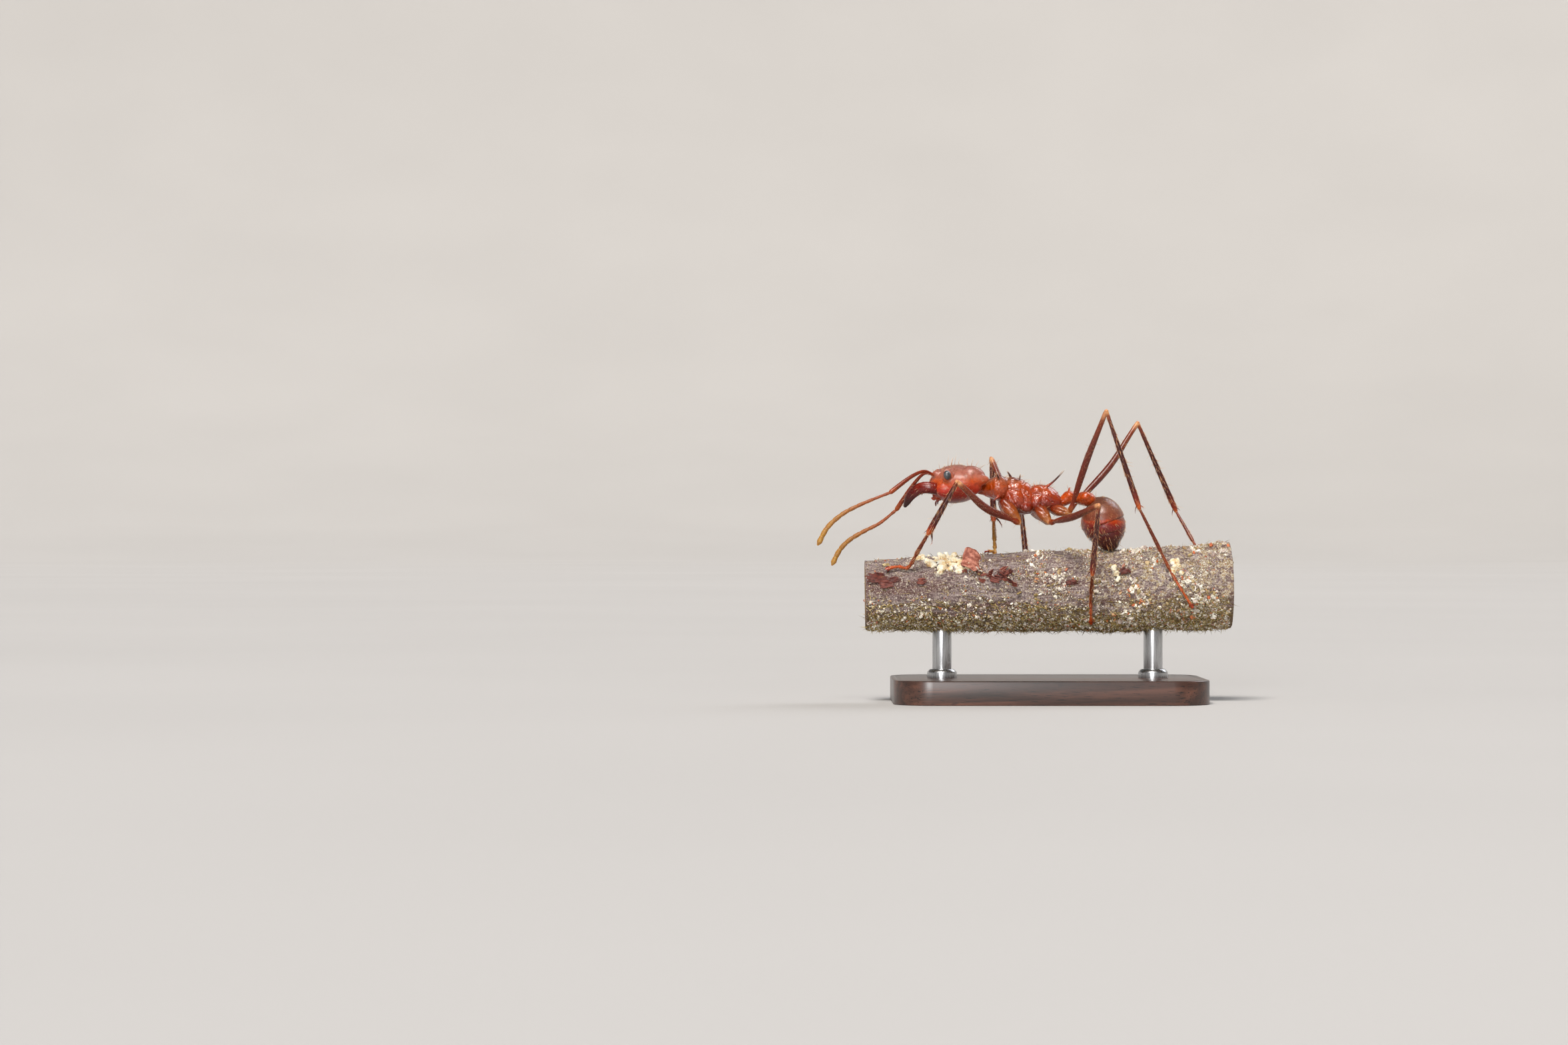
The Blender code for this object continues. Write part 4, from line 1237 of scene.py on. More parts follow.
def folded_skin(place, before, after, size):
    """The soft skin of one joint, gathered in three folds between the parts that meet there."""
    start = place + (before - place).normalized() * size * 0.45
    end = place + (after - place).normalized() * size * 0.45
    return limb(SKIN_FOLDS, [start, place, end], 12, 0.5, 0.5, 1, size)


def make_leg(name, chitin, skin_material, hook):
    """From the body out: coxa, femur with its trochanter, tibia with its spur, five-part tarsus, two claws."""
    tag, pair_name = name.split("_")
    side = SIDES[tag]
    root, hip, coxa_size, stout = HIPS[pair_name]
    root, hip = (Vector((x, side * y, z)) for x, y, z in (root, hip))
    thigh, knee, ankle, foot = STANCE[name]
    thigh, knee, ankle = Vector(thigh), Vector(knee), Vector(ankle)

    coxa = limb(COXA_PROFILE, [root, root.lerp(hip, 0.5), hip], 20, 0.6, 0.7, size=coxa_size)
    outer = Vector((0, side * 0.5, 0))
    for share, reach, height in ((0.20, 0.30, -0.03), (0.52, -0.22, 0.025), (0.84, 0.12, -0.025)):
        at = root.lerp(hip, share) + outer
        worked(coxa, [at + Vector((-reach, 0, 0.12)), at, at + Vector((reach, 0, -0.12))], height, 0.05)
    femur = limb(FEMUR_PROFILE, [hip, hip.lerp(thigh, 0.3), thigh, thigh.lerp(knee, 0.7), knee], size=stout)
    tibia = limb(TIBIA_PROFILE, [knee, knee.lerp(ankle, 0.15), knee.lerp(ankle, 0.6), ankle], size=stout)
    shin = (ankle - knee).normalized()
    front = (shin * shin.x - Vector((1, 0, 0))).normalized()
    spurs = []
    for lean, reach, thick in FRONT_SPURS if pair_name == "front" else SPURS:
        at = ankle - shin * 0.10 + front * 0.06 * lean
        tip = at + shin * reach * 0.8 + front * reach * 0.55 * lean
        spurs.append(spine(at, tip, thick * stout, 0.16 * reach))
    tibia = joined(tibia, *spurs)

    profile = []
    for k, (near, far) in enumerate(zip(TARSUS_CUTS, TARSUS_CUTS[1:])):
        wide = (0.205 - 0.014 * k) * stout
        span = far - near
        profile += [
            (near, wide * 0.55), (near + span * 0.14, wide * 0.74), (near + span * 0.55, wide * 0.84),
            (near + span * 0.86, wide), (far - span * 0.05, wide * 0.9),
        ]
    tarsus = limb(profile, [ankle, ankle.lerp(foot[0], 0.5), *foot], 10)

    end, before = foot[-1], foot[-2]
    ahead, up = (end - before).normalized(), away_from_twig(end)
    across = up.cross(ahead)
    splay = math.radians(32)
    claws = []
    for lean in (-1, 1):
        way = ahead * math.cos(splay) + across * (lean * math.sin(splay))
        claws.append(faced(copied(hook), end + across * lean * 0.03, way, up))
    pad = drawn_out(
        domed([(0, 0, .07, .06), (.05, -.01, .11, .08), (.11, -.02, .15, .06), (.16, -.01, .13, .04)]), 12
    )
    claws = joined(*claws, faced(pad, end + ahead * 0.02, ahead, up))

    skins = joined(*(folded_skin(place, before, after, size * stout) for place, before, after, size in (
        (hip, root, thigh, 0.22), (knee, thigh, ankle, 0.20), (ankle, knee, foot[0], 0.155),
    )))

    # The far front foot takes the paler copy of the tarsus finish: painted light.
    foot_finish = chitin["painted_lit_tarsus" if name == "right_front" else "tarsus"]
    return {
        "coxa": finished(coxa, f"{name}_coxa_shell", chitin["coxa"], "leg_chitin", f"{name}_coxa"),
        "femur": finished(femur, f"{name}_femur_shell", chitin["leg"], "leg_chitin", f"{name}_femur"),
        "tibia": finished(tibia, f"{name}_tibia_shell", chitin["shin"], "leg_chitin", f"{name}_tibia"),
        "tarsus": finished(tarsus, f"{name}_tarsus_segments", foot_finish, "tawny_chitin", f"{name}_tarsus"),
        "claws": finished(claws, f"{name}_claws", chitin["claw"], "tawny_chitin"),
        "skins": finished(skins, f"{name}_joint_skin", skin_material, "tawny_chitin"),
        "ways": {"coxa": hip - root, "femur": knee - hip, "tibia": ankle - knee, "tarsus": end - ankle},
    }


# ---------------------------------------------------------------- hairs, grit and fibres


def open_ground(skins):
    """Copies of the skins joined as one unwrapped mesh, with the number of its skin on each face."""
    grounds = []
    for i, skin in enumerate(skins):
        ground = copied(skin)
        mark = ground.data.attributes.new("skin", "INT", "FACE")
        mark.data.foreach_set("value", np.full(len(ground.data.polygons), i, np.int32))
        grounds.append(ground)
    ground = joined(*grounds)
    with editing(ground):
        bpy.ops.uv.smart_project(angle_limit=math.radians(66), island_margin=0.01)
    mesh = ground.data
    mesh.calc_loop_triangles()

    def read(source, name, each=1, kind=np.int32):
        values = np.empty(len(source) * each, kind)
        source.foreach_get(name, values)
        return values

    corners, loops = (read(mesh.loop_triangles, name, 3) for name in ("vertices", "loops"))
    faces = read(mesh.loop_triangles, "polygon_index")
    numbers = read(mesh.attributes["skin"].data, "value")
    flat = read(mesh.uv_layers.active.data, "uv", 2, np.float32).reshape(-1, 2)
    points, normals = read_mesh(ground)
    found = {
        "points": points[corners].reshape(-1, 3, 3) * METRE, "normals": normals[corners].reshape(-1, 3, 3),
        "uvs": flat[loops].reshape(-1, 3, 2), "skin": numbers[faces],
    }
    removed(ground)
    return found


def scattered(ground, number, count, rng, where=None):
    """Points strewn evenly over one skin of the ground, thinned by where; with their normals and UVs."""
    mine = ground["skin"] == number
    places = ground["points"][mine]
    sizes = np.linalg.norm(np.cross(places[:, 1] - places[:, 0], places[:, 2] - places[:, 0]), axis=1)
    if where:
        sizes = sizes * where(places.mean(1), ground["normals"][mine].mean(1))
    chosen = rng.choice(len(sizes), count, p=sizes / sizes.sum())
    u, v = rng.random((2, count))
    over = u + v > 1
    u[over], v[over] = 1 - u[over], 1 - v[over]
    shares = np.stack([1 - u - v, u, v], 1)[:, :, None]
    normals = (ground["normals"][mine][chosen] * shares).sum(1)
    normals /= np.linalg.norm(normals, axis=1, keepdims=True)
    return (places[chosen] * shares).sum(1), normals, (ground["uvs"][mine][chosen] * shares).sum(1)


def unit(vectors):
    return vectors / np.maximum(np.linalg.norm(vectors, axis=-1, keepdims=True), 1e-9)


def hairs(count, length, stand, lay, thick, where=None, bow=0.22, wander=0.16):
    """One sort of hair: how many, how long, how upright from 0 to 1, which way they lie, how thick, where they
    grow, how far each bows towards its lie, and how far each strays from it."""
    return {
        "count": count, "length": length, "stand": stand, "lay": lay, "thick": thick, "where": where, "bow": bow,
        "wander": wander,
    }


# Where a hair's three rings lie along it, and how much thinner it would be at its very end.
HAIR_STEPS = (0.0, 0.34, 0.7)
HAIR_TAPER = 0.72


def hair_shapes(roots, normals, sort, rng):
    """The points of every hair: three rings of three and a tip, from root to end."""
    count = len(roots)
    lay = np.broadcast_to(np.asarray(sort["lay"], float), (count, 3))
    lay = unit(lay - normals * (lay * normals).sum(1, keepdims=True))
    stand = sort["stand"]
    wander = rng.normal(0, sort["wander"], (count, 3))
    ahead = unit(normals * stand + lay * (1 - stand) + wander)
    length = rng.uniform(*sort["length"], count)[:, None]
    radius = rng.uniform(0.8, 1.15, count)[:, None] * sort["thick"] / 2
    across = unit(np.cross(ahead, lay) + 1e-4)
    over = np.cross(ahead, across)
    bow = sort["bow"] * rng.uniform(0.5, 1.5, count)[:, None]
    rings = []
    for step in HAIR_STEPS:
        # The root's ring is sunk by two radii, so no gap shows under it.
        centre = roots + ahead * (length * step - radius * (step == 0) * 2) + lay * length * bow * step**2
        for k in range(3):
            turn = 2 * math.pi * k / 3
            spoke = across * math.cos(turn) + over * math.sin(turn)
            rings.append(centre + spoke * radius * (1 - HAIR_TAPER * step))
    rings.append(roots + ahead * length + lay * length * bow)
    return np.stack(rings, 1)


# The faces of a hair, from root to tip, and each point's place along and across it.
HAIR_FACES = [
    (2, 1, 0), (0, 1, 4, 3), (1, 2, 5, 4), (2, 0, 3, 5), (3, 4, 7, 6), (4, 5, 8, 7), (5, 3, 6, 8), (6, 7, 9),
    (7, 8, 9), (8, 6, 9),
]
HAIR_ALONG = [step for step in HAIR_STEPS for _ in range(3)] + [1.0]
HAIR_ACROSS = [k / 2 - 0.5 for _ in HAIR_STEPS for k in range(3)] + [0.0]
# How much of the bake map one hair or crumb takes up.
PATCH = 0.003


def many(name, shapes, faces, along, across, uvs, tones, material, slot):
    """One mesh of many like small forms.  Each is a small patch of the bake map at its root's own place."""
    count, each = shapes.shape[:2]
    offsets = np.arange(count)[:, None] * each
    wholes = [whole for face in faces for whole in (np.array(face) + offsets).tolist()]
    mesh = bpy.data.meshes.new(name)
    mesh.from_pydata(shapes.reshape(-1, 3), [], wholes)
    patch = np.stack([np.array(across), np.array(along) - 0.5], 1) * PATCH
    places = (uvs[:, None, :] + patch[None]).reshape(-1, 2)
    corners = np.empty(len(mesh.loops), np.int32)
    mesh.loops.foreach_get("vertex_index", corners)
    mesh.uv_layers.new(name="OFBake").data.foreach_set("uv", places[corners].reshape(-1))
    whole = placed(name, mesh)
    number_each_point(whole, "along", np.tile(along, count))
    number_each_point(whole, "tone", np.repeat(tones, each))
    return finished(whole, name, material, slot)


def grow(name, coats, material, slot, seed):
    """Hairs on several skins as one piece.  Each coat is a skin and the sorts of hair on it."""
    rng = np.random.default_rng(seed)
    ground = open_ground([skin for skin, _ in coats])
    shapes, places = [], []
    for number, (_, sorts) in enumerate(coats):
        for sort in sorts:
            roots, normals, uvs = scattered(ground, number, sort["count"], rng, sort["where"])
            shapes.append(hair_shapes(roots, normals, sort, rng))
            places.append(uvs)
    shapes, places = np.concatenate(shapes), np.concatenate(places)
    tones = rng.random(len(shapes))
    return many(name, shapes, HAIR_FACES, HAIR_ALONG, HAIR_ACROSS, places, tones, material, slot)


def above(height, softness):
    """Thins hairs out below a height, over this many millimetres, or above it where softness is less than 0."""
    return lambda places, _: 1 / (1 + np.exp(-(places[:, 2] - height) / softness * 4)) + 0.001


def facing_up(_, normals):
    return np.clip(normals[:, 2], 0, 1) ** 2 + 0.001


def make_hairs(head, trunk, waist, gaster, antennae, mandibles, legs, material):
    """Every skin's own coat: short hairs that lie flat, and longer ones that stand."""
    forward, back, down, along_whip = (-1, 0, -0.2), (1, 0, 0), (0.36, 0, -0.93), (-0.8, 0, -0.5)
    fine, middling, stout = 0.0085, 0.014, 0.02
    coats = {
        "head_hairs": [
            (head, [
                hairs(1100, (0.05, 0.09), 0.16, forward, fine),
                hairs(26, (0.30, 0.50), 0.9, back, 0.017, above(9.6, 0.15)),
                hairs(40, (0.10, 0.20), 0.7, forward, middling),
            ]),
            *((jaw, [hairs(45, (0.08, 0.18), 0.5, (-0.8, 0, -0.6), middling)]) for jaw in mandibles),
        ],
        "trunk_hairs": [(part, [
            hairs(22, (0.16, 0.32), 0.8, back, 0.016, facing_up), hairs(110, (0.05, 0.10), 0.35, back, fine),
        ]) for part in trunk],
        "waist_hairs": [(part, [
            hairs(18, (0.12, 0.24), 0.8, back, 0.016), hairs(60, (0.05, 0.09), 0.35, back, fine),
        ]) for part in waist],
        "gaster_hairs": [(plate, [
            hairs(short, (0.05, 0.09), 0.2, down, fine),
            hairs(long, (0.28, 0.46), 0.85, down, 0.018),
            hairs(gold, (0.10, 0.17), 0.35, down, stout, above(7.6, -0.3)),
        ]) for plate, (short, long, gold) in zip(gaster, ((900, 14, 20), (330, 4, 90), (200, 3, 70), (200, 6, 60)))],
        "antenna_hairs": [(part, [
            hairs(800 if "whip" in name else 110, (0.03, 0.06), 0.3, along_whip, fine),
            hairs(20, (0.06, 0.11), 0.45, along_whip, 0.010),
        ]) for name, part in antennae.items()],
    }
    # For each part of a leg: how many of each sort of bristle, how long, how upright and how thick.
    bristles = {
        "coxa": [(40, (0.05, 0.09), 0.35, fine), (7, (0.14, 0.26), 0.8, middling)],
        "femur": [
            (300, (0.04, 0.08), 0.2, fine), (26, (0.08, 0.14), 0.4, middling), (5, (0.18, 0.28), 0.8, middling),
        ],
        "tibia": [
            (200, (0.05, 0.08), 0.2, fine), (90, (0.12, 0.21), 0.27, stout), (9, (0.22, 0.34), 0.75, middling),
        ],
        "tarsus": [(170, (0.05, 0.08), 0.25, fine), (80, (0.08, 0.14), 0.32, 0.017)],
    }
    for seed, (name, coat) in enumerate(coats.items(), 11):
        grow(name, coat, material, "tawny_chitin", seed)
    for seed, (name, leg) in enumerate(legs.items(), 20):
        grow(f"{name}_bristles", [(leg[part], [
            hairs(count, length, stand, leg["ways"][part], thick, bow=0.10, wander=0.09)
            for count, length, stand, thick in sorts
        ]) for part, sorts in bristles.items()], material, "tawny_chitin", seed)


# ---------------------------------------------------------------- twig and stand


def weathered(place):
    """How far the bark stands out here, in millimetres: long fissures, worn hummocks and fine crumble."""
    along = Vector((place.x * 0.22, place.y, place.z))
    fissure = abs(noise.noise(along * 1.5)) * 2
    hummock = noise.fractal(place * 0.9, 0.9, 2.0, 4)
    crumble = noise.fractal(place * 3.6, 0.8, 2.1, 4)
    return 0.10 * min(fissure, 0.5) + 0.055 * hummock + 0.035 * crumble - 0.02


def make_twig(bark, end_grain):
    """A cut length of twig with its bark on, sawn square at both ends."""
    steps = 46
    # Each sawn end is flat out to its rim, and one more ring just behind the rim keeps it sharp.
    near_end = [(-TWIG_HALF, size) for size in (0.05, 0.35, 0.7, 0.96, 1.0)] + [(-TWIG_HALF + 0.06, 1.0)]
    sizes = [*near_end, *((-TWIG_HALF + 2 * TWIG_HALF * k / steps, 1.0) for k in range(1, steps))]
    sizes += [(-x, size) for x, size in near_end[::-1]]
    rings = []
    for x, size in sizes:
        rings.append((x, twig_centre(x).z, 2 * twig_radius(x) * size, 2 * twig_radius(x) * size))
    twig = drawn_out(rings, 32)
    for vert in twig.data.vertices:
        centre = twig_centre(vert.co.x)
        spoke = Vector((0, vert.co.y, vert.co.z - centre.z))
        share = min(spoke.length / twig_radius(vert.co.x), 1.0)
        turn = math.atan2(spoke.y, spoke.z)
        reach = spoke.length * swell(vert.co.x, turn) + weathered(vert.co) * share**3
        if spoke.length > 1e-6:
            spoke = spoke.normalized() * reach
        vert.co = Vector((vert.co.x, spoke.y, centre.z + spoke.z))
    twig = finished(twig, "twig_bark_length", bark, "twig_bark", "twig")
    twig.data.materials.append(end_grain)
    for face in twig.data.polygons:
        if abs(face.normal.x) > 0.9 and abs(face.center.x) > (TWIG_HALF - 0.03) / METRE:
            face.material_index = 1
    return twig


# How thin, and how much too thick, a crumb may come out.
CRUMB_SQUASH = (0.3, 1.4)


def crumb_shapes(roots, normals, sizes, rng, shape):
    """Irregular crumbs: the points of one small ball, squashed, turned and knocked about for each root."""
    count = len(roots)
    w, x, y, z = unit(rng.normal(size=(count, 4))).T
    turns = np.stack([
        1 - 2 * (y * y + z * z), 2 * (x * y - z * w), 2 * (x * z + y * w),
        2 * (x * y + z * w), 1 - 2 * (x * x + z * z), 2 * (y * z - x * w),
        2 * (x * z - y * w), 2 * (y * z + x * w), 1 - 2 * (x * x + y * y),
    ], 1).reshape(-1, 3, 3)
    squash = rng.uniform(*CRUMB_SQUASH, (count, 1, 3))
    knocks = rng.uniform(0.6, 1.35, (count, len(shape), 1))
    forms = np.einsum("nij,nkj->nki", turns, shape[None] * squash * knocks)
    return roots[:, None] + normals[:, None] * sizes[:, None, None] * 0.1 + forms * sizes[:, None, None]


def ball_mesh(subdivisions):
    """The points and faces of one small ball, to be repeated: two pyramids back to back, or an ico sphere."""
    if subdivisions == 0:
        ball = begin(
            bpy.ops.mesh.primitive_cone_add, vertices=4, radius1=0.5, depth=0.5, end_fill_type="TRIFAN",
            location=(0, 0, 0.25),
        )
        with editing(ball, chosen=lambda vert: vert.co.xy.length < 0.1 and vert.co.z < 0.1):
            bpy.ops.transform.translate(value=(0, 0, -0.5))
    else:
        ball = begin(bpy.ops.mesh.primitive_ico_sphere_add, subdivisions=subdivisions, radius=0.5)
    points, _ = read_mesh(ball)
    faces = [tuple(face.vertices) for face in ball.data.polygons]
    removed(ball)
    return points, faces


def clear_of_ends(places, margin):
    """1 on the bark, and 0 within this margin of a sawn end."""
    return np.abs(places[:, 0]) < TWIG_HALF - margin


def in_patches(scale, threshold, sharp, seed=0.0):
    """Thins what is strewn to drifts and leaves bare bark between them."""
    def thinned(places, _):
        found = np.array([noise.fractal(Vector(p) * scale + Vector((seed, 0, 0)), 0.9, 2.0, 3) for p in places])
        return np.exp(np.clip((found - threshold) * sharp, -8, 2)) * clear_of_ends(places, 0.12)
    return thinned


def beneath(slope, margin, elsewhere):
    """Keeps what is strewn to bark that faces down by more than this slope, but for a very few elsewhere."""
    return lambda places, normals: (
        np.clip(-normals[:, 2] - slope, 0, 0.5) * clear_of_ends(places, margin) + elsewhere
    )


def make_grit(twig, material):
    """Crumbs of grit and lichen on the bark: fine ones nearly everywhere and coarse ones in drifts."""
    rng = np.random.default_rng(31)
    ground = open_ground([twig])
    patches, drift = in_patches(0.7, 0.0, 5.0), in_patches(0.9, 0.25, 9.0, 5.0)

    def thicker_behind(places, normals):
        """Most of the crumbs lie towards the thick end of the twig, where the bark is roughest."""
        return drift(places, normals) * (1 + 3.5 * np.clip((places[:, 0] + 1) / 5, 0, 1))

    # Each sort: how finely its crumb is cut, how many, how large, where, and the range of their tones.
    sorts = (
        ("twig_grit_fine", 0, 22000, (0.03, 0.10), patches, (0.2, 1.0)),
        ("twig_grit_coarse", 2, 2100, (0.07, 0.20), thicker_behind, (0.3, 1.0)),
        ("twig_moss_crumbs", 1, 9000, (0.05, 0.15), beneath(0.22, 0.1, 2e-3), (0.22, 1.0)),
    )
    for name, subdivisions, count, (least, most), where, tones in sorts:
        roots, normals, uvs = scattered(ground, 0, count, rng, where)
        shape, faces = ball_mesh(subdivisions)
        sizes = rng.uniform(0, 1, count) ** 2 * (most - least) + least
        shapes = crumb_shapes(roots, normals, sizes, rng, shape)
        across, along = shape[:, 0], shape[:, 2] + 0.5
        crumbs = many(name, shapes, faces, along, across, uvs, rng.uniform(*tones, count), material, "twig_bark")
        pick(crumbs)
        bpy.ops.object.shade_flat()


# The crust's heaps: place along and round the twig, how far it spreads, and how many lumps it is made of.
CRUST_HEAPS = (
    (-4.50, 26, 0.34, 34), (-3.95, 38, 0.26, 24), (-5.30, 16, 0.16, 7), (5.20, 58, 0.16, 9), (2.7, 66, 0.10, 5),
)


def make_crust(material):
    """Lichen crust heaped in crumbs on the bark: one broad mass over the crest and a few small ones."""
    rng = np.random.default_rng(33)
    lumps = []
    for x, degrees, spread, count in CRUST_HEAPS:
        for _ in range(count):
            along, round_by = x + rng.normal(0, spread), degrees + rng.normal(0, 34 * spread)
            place = on_twig(along, round_by, rng.uniform(-0.04, 0.12))
            lumps.append(lump(place, rng.uniform(0.13, 0.36, 3), rng.uniform(0, 180, 3)))
    crust = fused(lumps, 0.026, 1)
    roughened(crust, 0.16, 0.12)
    roughened(crust, 0.06, 0.06)
    return finished(crust, "twig_crust_pale", material, "twig_bark")


def make_fibres(twig, material):
    """Short curled strands of dead moss and bark fibre, matted along the damp underside."""
    damp = beneath(0.26, 0.2, 1e-3)

    def anywhere(places, _):
        return clear_of_ends(places, 0.2) + 1e-5

    sorts = []
    for lay in ((1, 0.2, 0), (-1, 0.3, -0.1), (0.4, 1, -0.3), (-0.5, -1, -0.2)):
        sorts.append(hairs(1500, (0.10, 0.30), 0.3, lay, 0.034, damp, bow=0.9, wander=0.4))
        sorts.append(hairs(260, (0.10, 0.28), 0.3, lay, 0.018, anywhere, bow=0.9, wander=0.4))
    grow("twig_moss_fibres", [(twig, sorts)], material, "twig_bark", 41)


# A scale less ragged than this is a whole one.
WHOLE = 0.4


def make_flake(size, stretch, seed, ragged):
    """One scale of bark: a sheet torn ragged at its edges, cupped and split along its fibres."""
    flake = begin(bpy.ops.mesh.primitive_grid_add, x_subdivisions=24, y_subdivisions=18, size=1)

    def torn(face):
        u, v = face.center.x * 2, face.center.y * 2
        edge = noise.noise(Vector((u * 1.5 + seed, v * 2.6, seed))) * 0.6
        split = noise.noise(Vector((u * 0.8, v * 9.0 + seed, seed * 2))) * 0.7
        return u * u + v * v + (edge + split) * ragged > 0.75

    if ragged > WHOLE:
        with editing(flake, "FACE", chosen=torn):
            bpy.ops.mesh.delete(type="FACE")
        with editing(flake):
            bpy.ops.mesh.vertices_smooth(factor=0.4, repeat=1)
    for vert in flake.data.vertices:
        u, v = vert.co.x, vert.co.y
        if ragged <= WHOLE and (u or v):
            # A whole scale: the square sheet is drawn in to a round one with a few blunt corners.
            spread = Vector((u, v, 0)).normalized()
            reach = max(abs(u), abs(v)) * (1 + 0.5 * noise.noise(spread * 1.5 + Vector((0, 0, seed + 5.1))))
            u, v = spread.x * reach, spread.y * reach
        cup = 0.5 * v * v - 0.35 * u * u
        ripple = 0.20 * ragged * noise.noise(Vector((u * 2.4, v * 6.0 + seed, 3.0)))
        vert.co = Vector((u * stretch, v, cup + ripple)) * size
    return applied(flake, "SOLIDIFY", thickness=0.03, offset=0)


SHREDS = 16
# The scales that lie close to the bark: place along and round the twig, and size.
CLOSE_SCALES = (
    (-7.1, 62, 0.5), (-6.75, 72, 0.42), (-6.4, 66, 0.3), (-5.3, 70, 0.3), (0.9, 78, 0.26), (3.1, 62, 0.28),
    (-0.5, -70, 0.5), (2.1, -60, 0.42), (-4.2, -76, 0.5), (4.6, -66, 0.36),
)


def make_flakes(material):
    """Scales of outer bark: one broad pale one that stands against the crust, the rest dark shreds and scales."""
    rng = np.random.default_rng(37)
    # Each: place along and round the twig, size, the degrees that it lifts and leans out by, stretch, tone,
    # raggedness, how far it may turn across the twig, and how far it stands off the bark.
    spots = [
        (-3.20, 42, 1.06, 24, 8, 1.0, 0.55, 0.38, 0.3, 0.18),
        (-3.62, 50, 0.50, -14, 30, 1.1, 0.42, 0.5, 0.3, 0.03),
    ]
    for _ in range(SHREDS):
        spots.append((
            rng.uniform(-3.0, -1.3), rng.uniform(56, 80), rng.uniform(0.16, 0.34), rng.uniform(-50, 50),
            rng.uniform(-30, 60), rng.uniform(1.6, 3.2), rng.uniform(0.0, 0.4), 1.0, 0.8, 0.03,
        ))
    for x, degrees, size in CLOSE_SCALES:
        spots.append((
            x, degrees, size, rng.uniform(-4, 14), 6, rng.uniform(1.5, 2.4), rng.uniform(0.05, 0.4), 1.0, 0.3, 0.03,
        ))
    flakes = []
    for k, (x, degrees, size, lift, lean, stretch, tone, ragged, swing, clear) in enumerate(spots):
        flake = make_flake(size, stretch, 1.7 * k, ragged)
        number_each_point(flake, "tone", np.full(len(flake.data.vertices), tone))
        place = on_twig(x, degrees, 0.03)
        up = away_from_twig(place)
        tilt = Matrix.Rotation(math.radians(lift), 4, up.cross(Vector((1, 0, 0))))
        tilt = tilt @ Matrix.Rotation(math.radians(math.copysign(lean, degrees)), 4, "X")
        ahead = tilt @ Vector((1, swing * math.sin(3.3 * k), 0))
        flakes.append(faced(flake, place + up * clear, ahead, tilt @ up))
    return finished(joined(*flakes), "twig_bark_flakes", material, "twig_bark")


def sharp_edged(piece, degrees=30):
    """Shades the piece smooth, but for its edges sharper than this."""
    pick(piece)
    bpy.ops.object.shade_smooth_by_angle(angle=math.radians(degrees))


def make_stand(wood, steel):
    """A flat waxed base with rounded corners and a moulded edge, and two pins that end inside the twig."""
    base = begin(bpy.ops.mesh.primitive_cube_add, size=1, location=(0, 0, BASE_SIZE[2] / 2), scale=BASE_SIZE)
    settle(base)
    with editing(base, "EDGE", chosen=lambda edge: abs(edge_way(base, edge).z) > 0.9):
        bpy.ops.mesh.bevel(offset=BASE_CORNER, segments=12)
    # A shallow groove runs round the top, a little in from its edge.
    with editing(base, "FACE", chosen=lambda face: face.normal.z > 0.9):
        for inset, sunk in ((0.16, 0.001), (0.10, 0.05), (0.10, -0.05)):
            bpy.ops.mesh.inset(thickness=inset)
            bpy.ops.transform.translate(value=(0, 0, -sunk))
    applied(base, "BEVEL", width=0.05, segments=3, limit_method="ANGLE", angle_limit=math.radians(25))
    sharp_edged(finished(base, "stand_base_board", wood, "dark_base", "stand_base"))
    for tag, side in SIDES.items():
        x = side * ROD_X
        top = twig_centre(x).z - twig_radius(x) + ROD_REACH
        pin = begin(
            bpy.ops.mesh.primitive_cylinder_add, vertices=48, radius=ROD_DIAMETER / 2, depth=top - ROD_FOOT,
            location=(x, 0, (top + ROD_FOOT) / 2),
        )
        settle(pin)
        collar = begin(
            bpy.ops.mesh.primitive_cylinder_add, vertices=48, radius=0.62, depth=0.34, location=(x, 0, 1.08)
        )
        settle(collar)
        with editing(collar, "FACE", chosen=lambda face: face.normal.z > 0.9):
            bpy.ops.mesh.inset(thickness=0.12)
            bpy.ops.transform.translate(value=(0, 0, 0.12))
        whole = joined(pin, collar)
        applied(whole, "BEVEL", width=0.04, segments=3, limit_method="ANGLE", angle_limit=math.radians(30))
        sharp_edged(finished(whole, f"stand_pin_{tag}", steel, "steel_pin", f"stand_rod_{tag}"))


def edge_way(piece, edge):
    """The way that an edge of the mesh runs."""
    a, b = (piece.data.vertices[i].co for i in edge.vertices)
    return (b - a).normalized()


# ---------------------------------------------------------------- studio


# The floor, in metres: how far it is flat, how far it curves out beyond that and up, and in how many steps.
FLOOR_FLAT = 0.7
FLOOR_CURVE = 0.5
FLOOR_STEPS = 9


def make_studio():
    """A pale round dish of a floor that rises all round."""
    material, tree, place = new_material("floor_matte_paper")
    tone = add(tree, "ShaderNodeTexNoise", {"Vector": place, "Scale": 0.02})
    colour = add(tree, "ShaderNodeValToRGB", {"Fac": tone}, [(0.3, "#b5b3b1"), (0.7, "#b8b6b4")])
    surfaced(material, colour, Roughness=0.9)
    floor = begin(bpy.ops.mesh.primitive_circle_add, vertices=96, radius=FLOOR_FLAT, fill_type="NGON")
    with editing(floor, "FACE"):
        reach = FLOOR_FLAT
        for k in range(1, FLOOR_STEPS + 1):
            before, angle = (math.radians(90 * i / FLOOR_STEPS) for i in (k - 1, k))
            wider = FLOOR_FLAT + FLOOR_CURVE * math.sin(angle)
            rise = FLOOR_CURVE * (1 - math.cos(angle)) - FLOOR_CURVE * (1 - math.cos(before))
            bpy.ops.mesh.extrude_region_move(TRANSFORM_OT_translate={"value": (0, 0, rise)})
            bpy.ops.transform.resize(value=(wider / reach, wider / reach, 1), center_override=(0, 0, 0))
            reach = wider
        bpy.ops.mesh.delete(type="ONLY_FACE")
    pick(floor)
    bpy.ops.object.shade_smooth()
    floor.name = "floor"
    floor.data.materials.append(material)


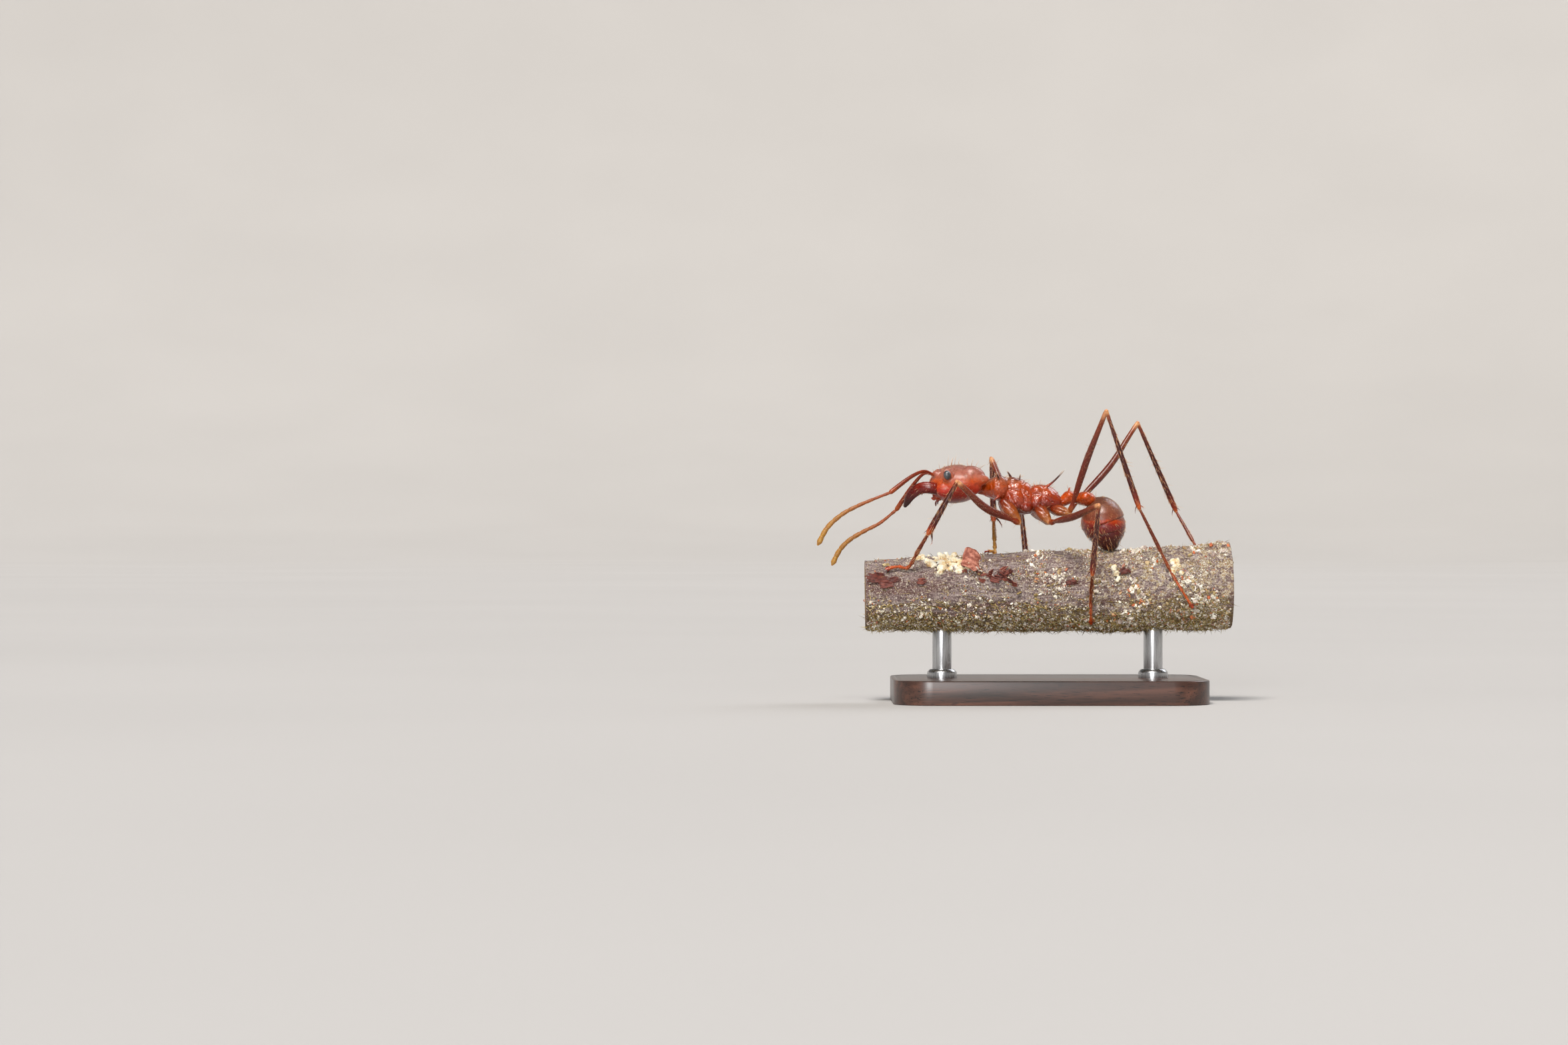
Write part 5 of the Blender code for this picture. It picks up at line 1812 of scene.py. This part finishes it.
def turned_from(light, way):
    """Turns a light so that it shines from this way."""
    light.rotation_euler = Vector(way).to_track_quat("Z", "Y").to_euler()


def make_light(name, way, softness, power, colour):
    """A big soft light far off: way is where it comes from, softness the angle that it fills, in degrees."""
    data = bpy.data.lights.new(name, "SUN")
    data.angle = math.radians(softness)
    data.energy = power
    data.color = linear(colour)[:3]
    turned_from(placed(name, data), way)


def make_front_light():
    """A wide soft box before the ant and a little above it, which reaches under the belly and the twig."""
    data = bpy.data.lights.new("front", "AREA")
    data.shape = "DISK"
    data.size = 0.12
    data.energy = 1.25
    light = placed("front", data)
    light.location = (-0.10, -0.50, 0.09)
    turned_from(light, light.location - Vector((0, 0, 0.006)))
    light.visible_camera = False


def make_camera():
    """Level, square on to the ant's left side, with a long lens; the ant is right of the middle of the view."""
    data = bpy.data.cameras.new("camera")
    data.lens = 100
    data.sensor_width = 36
    data.clip_start = 0.005
    camera = placed("camera", data)
    camera.location = (-0.010986, -0.1816, 0.007472)
    camera.rotation_euler = (math.radians(90), 0, 0)
    bpy.context.scene.camera = camera


def make_lights():
    """Two suns and a soft box in a dim, even room."""
    make_light("key", (-0.22, -0.80, 1.10), 20, 3.8, "#fffaf4")
    make_light("rim", (0.55, 0.6, 0.75), 30, 1.1, "#f6f8ff")
    make_front_light()
    world = bpy.data.worlds.new("studio")
    bpy.context.scene.world = world
    world.use_nodes = True
    background = world.node_tree.nodes["Background"]
    background.inputs["Color"].default_value = linear("#eceef0")
    background.inputs["Strength"].default_value = 0.15
    bpy.context.scene.view_settings.view_transform = "Standard"


def main():
    chitin = make_chitins()
    head = make_head(chitin)
    make_eyes(make_eye_material())
    mandibles = make_mandibles(chitin)
    make_mouthparts(chitin)
    antennae = make_antennae(chitin)
    trunk = [make_pronotum(chitin), make_mesothorax(chitin), make_propodeum(chitin)]
    make_thorns(chitin)
    waist = make_waist(chitin)
    gaster = make_gaster(chitin)
    skin_material = make_membrane_material()
    hook = make_hook()
    legs = {name: make_leg(name, chitin, skin_material, hook) for name in STANCE}
    removed(hook)
    make_hairs(head, trunk, waist, gaster, antennae, mandibles, legs, make_hair_material())
    twig = make_twig(make_bark_material(), make_cut_wood_material())
    make_grit(twig, make_grit_material())
    make_crust(make_crust_material())
    make_fibres(twig, make_fibre_material())
    make_flakes(make_flake_material())
    make_stand(make_base_material(), make_steel_material())
    make_studio()
    make_lights()
    make_camera()


main()
